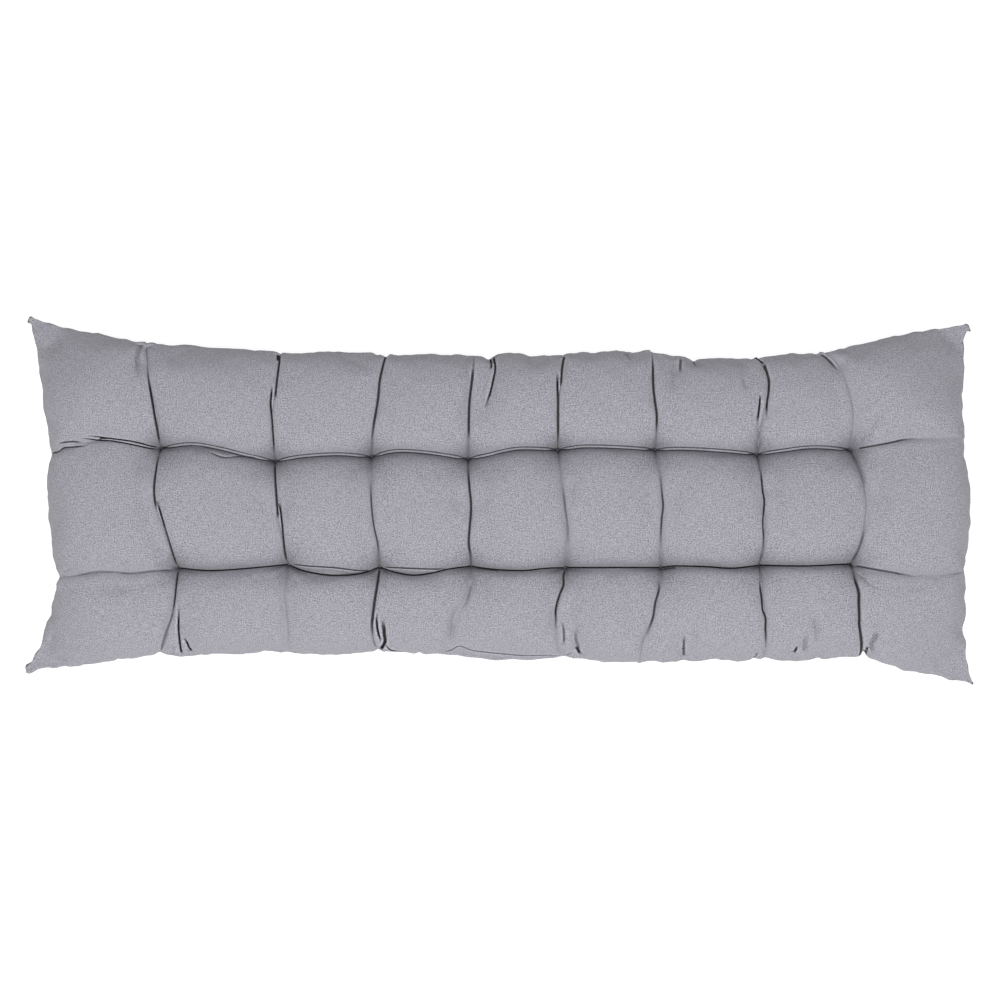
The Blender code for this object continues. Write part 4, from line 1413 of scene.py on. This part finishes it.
def bent_stitch(settings):
    """One closing stitch: a thread spun over the lip."""
    bpy.ops.object.select_all(action="DESELECT")
    reach = settings.lip_width * 0.45
    bpy.ops.mesh.primitive_circle_add(vertices=6, radius=settings.thread_radius, location=(0, -reach, 0))
    stitch = made_in_place()
    bpy.ops.mesh.spin(steps=8, angle=-math.pi, center=(0, 0, 0), axis=(1, 0, 0))
    bpy.ops.mesh.select_all(action="SELECT")
    height = settings.lip_thickness / 2 + settings.thread_radius * 0.5
    bpy.ops.transform.resize(value=(1, 1, height / reach), center_override=(0, 0, 0))
    close_shape()
    return stitch


def sew_on(piece, material):
    """Finishes a piece of the sewing and lets it move with the cushion."""
    piece.data.materials.clear()
    piece.data.materials.append(material)
    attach(piece, "root")


class CUSHION_OT_knots(bpy.types.Operator):
    """Knot the thread of each tuft on the face and on the underside"""

    bl_idname = "cushion.knots"
    bl_label = "Tuft knots"

    def execute(self, context):
        settings = context.scene.cushion_sewing
        shape = bmesh.new()
        shape.from_mesh(bpy.data.objects["cushion_cover"].data)
        tree = BVHTree.FromBMesh(shape)
        shape.free()
        spots = []
        for number, (x, y) in enumerate(brought_in(TUFTS)):
            for side in (1, -1):
                hit = tree.ray_cast(Vector((x, y, side)), Vector((0, 0, -side)))[0]
                if hit is None:
                    raise RuntimeError("A tuft lies beside the cover")
                height = max(hit.z + side * settings.knot_radius * 0.3, settings.knot_radius)
                spots.append((Vector((x, y, height)), (0.3 * side, 0.2, KNOT_TURN * number)))
        knots = copies_joined(wound_knot(settings), "tuft_knots", spots)
        sew_on(knots, thread_material(settings))
        return {"FINISHED"}


class CUSHION_OT_closing(bpy.types.Operator):
    """Fold and stitch the lip of the closing seam"""

    bl_idname = "cushion.closing"
    bl_label = "Closing seam"

    def execute(self, context):
        settings = context.scene.cushion_sewing
        path = closing_path()
        sew_on(folded_lip(path, settings), bpy.data.objects["cushion_cover"].data.materials[0])
        every = max(1, round(settings.stitch_pitch / LIP_STEP))
        spots = [(place, (0, 0, STITCH_SLANT + 0.2 * noise.noise(place * 90))) for place in path[2:-2:every]]
        stitches = copies_joined(bent_stitch(settings), "closing_stitches", spots)
        sew_on(stitches, thread_material(settings))
        return {"FINISHED"}


def add_area_light(name, power, size, place, target):
    """A soft square light aimed at a point."""
    light = bpy.data.lights.new(name, "AREA")
    light.energy = power
    light.size = size
    lamp = bpy.data.objects.new(name, light)
    lamp.location = place
    lamp.rotation_euler = (Vector(target) - Vector(place)).to_track_quat("-Z", "Y").to_euler()
    bpy.context.scene.collection.objects.link(lamp)


class CUSHION_OT_stage(bpy.types.Operator):
    """Add the floor, the lights and the camera"""

    bl_idname = "cushion.stage"
    bl_label = "Stage"

    def execute(self, context):
        settings = context.scene.cushion_stage
        scene = context.scene
        bpy.ops.object.select_all(action="DESELECT")
        bpy.ops.mesh.primitive_plane_add(size=40)
        floor = context.object
        floor.name = "floor"
        paper = Nodes("white floor")
        paper.put((0.2, 0.2, 0.2, 1), paper.shader.inputs["Base Color"])
        paper.put(1.0, paper.shader.inputs["Roughness"])
        paper.put((1, 1, 1, 1), paper.shader.inputs["Emission Color"])
        paper.put(settings.floor_glow, paper.shader.inputs["Emission Strength"])
        floor.data.materials.append(paper.material)

        world = bpy.data.worlds.new("studio")
        world.use_nodes = True
        world.node_tree.nodes["Background"].inputs["Color"].default_value = (1, 1, 1, 1)
        world.node_tree.nodes["Background"].inputs["Strength"].default_value = settings.fill_strength
        scene.world = world
        scene.view_settings.view_transform = "Standard"
        add_area_light("key", settings.key_power, 2.0, (0.0, -1.28, 4.47), (0, 0, 0))

        camera = bpy.data.objects.new("camera", bpy.data.cameras.new("camera"))
        scene.collection.objects.link(camera)
        camera.data.type = "PERSP"
        camera.data.lens = settings.lens
        distance = settings.view_width * settings.lens / camera.data.sensor_width
        camera.location = (0.0019, -0.0006, 0.033 + distance)
        scene.camera = camera
        return {"FINISHED"}


class CUSHION_PT_panel(bpy.types.Panel):
    """The cushion's pieces and their settings"""

    bl_label = "Cushion"
    bl_idname = "CUSHION_PT_panel"
    bl_space_type = "VIEW_3D"
    bl_region_type = "UI"
    bl_category = "Cushion"

    def draw(self, context):
        for settings, operators in PANEL_ROWS:
            box = self.layout.box()
            group = getattr(context.scene, settings)
            for name in group.__annotations__:
                box.prop(group, name)
            for operator in operators:
                box.operator(operator.bl_idname)


GROUPS = {
    "cushion_cover": CushionCoverSettings,
    "cushion_cloth": CushionClothSettings,
    "cushion_sewing": CushionSewingSettings,
    "cushion_stage": CushionStageSettings,
}
OPERATORS = (CUSHION_OT_cover, CUSHION_OT_knots, CUSHION_OT_closing, CUSHION_OT_stage)
PANEL_ROWS = (
    ("cushion_cover", (CUSHION_OT_cover,)),
    ("cushion_cloth", ()),
    ("cushion_sewing", (CUSHION_OT_knots, CUSHION_OT_closing)),
    ("cushion_stage", (CUSHION_OT_stage,)),
)


def register():
    for thing in (*GROUPS.values(), *OPERATORS, CUSHION_PT_panel):
        bpy.utils.register_class(thing)
    for name, group in GROUPS.items():
        setattr(bpy.types.Scene, name, PointerProperty(type=group))


def unregister():
    for name in GROUPS:
        delattr(bpy.types.Scene, name)
    for thing in reversed((*GROUPS.values(), *OPERATORS, CUSHION_PT_panel)):
        bpy.utils.unregister_class(thing)


def main():
    register()
    bpy.ops.cushion.stage()
    bpy.ops.cushion.cover()
    bpy.ops.cushion.knots()
    bpy.ops.cushion.closing()


if __name__ == "__main__":
    main()
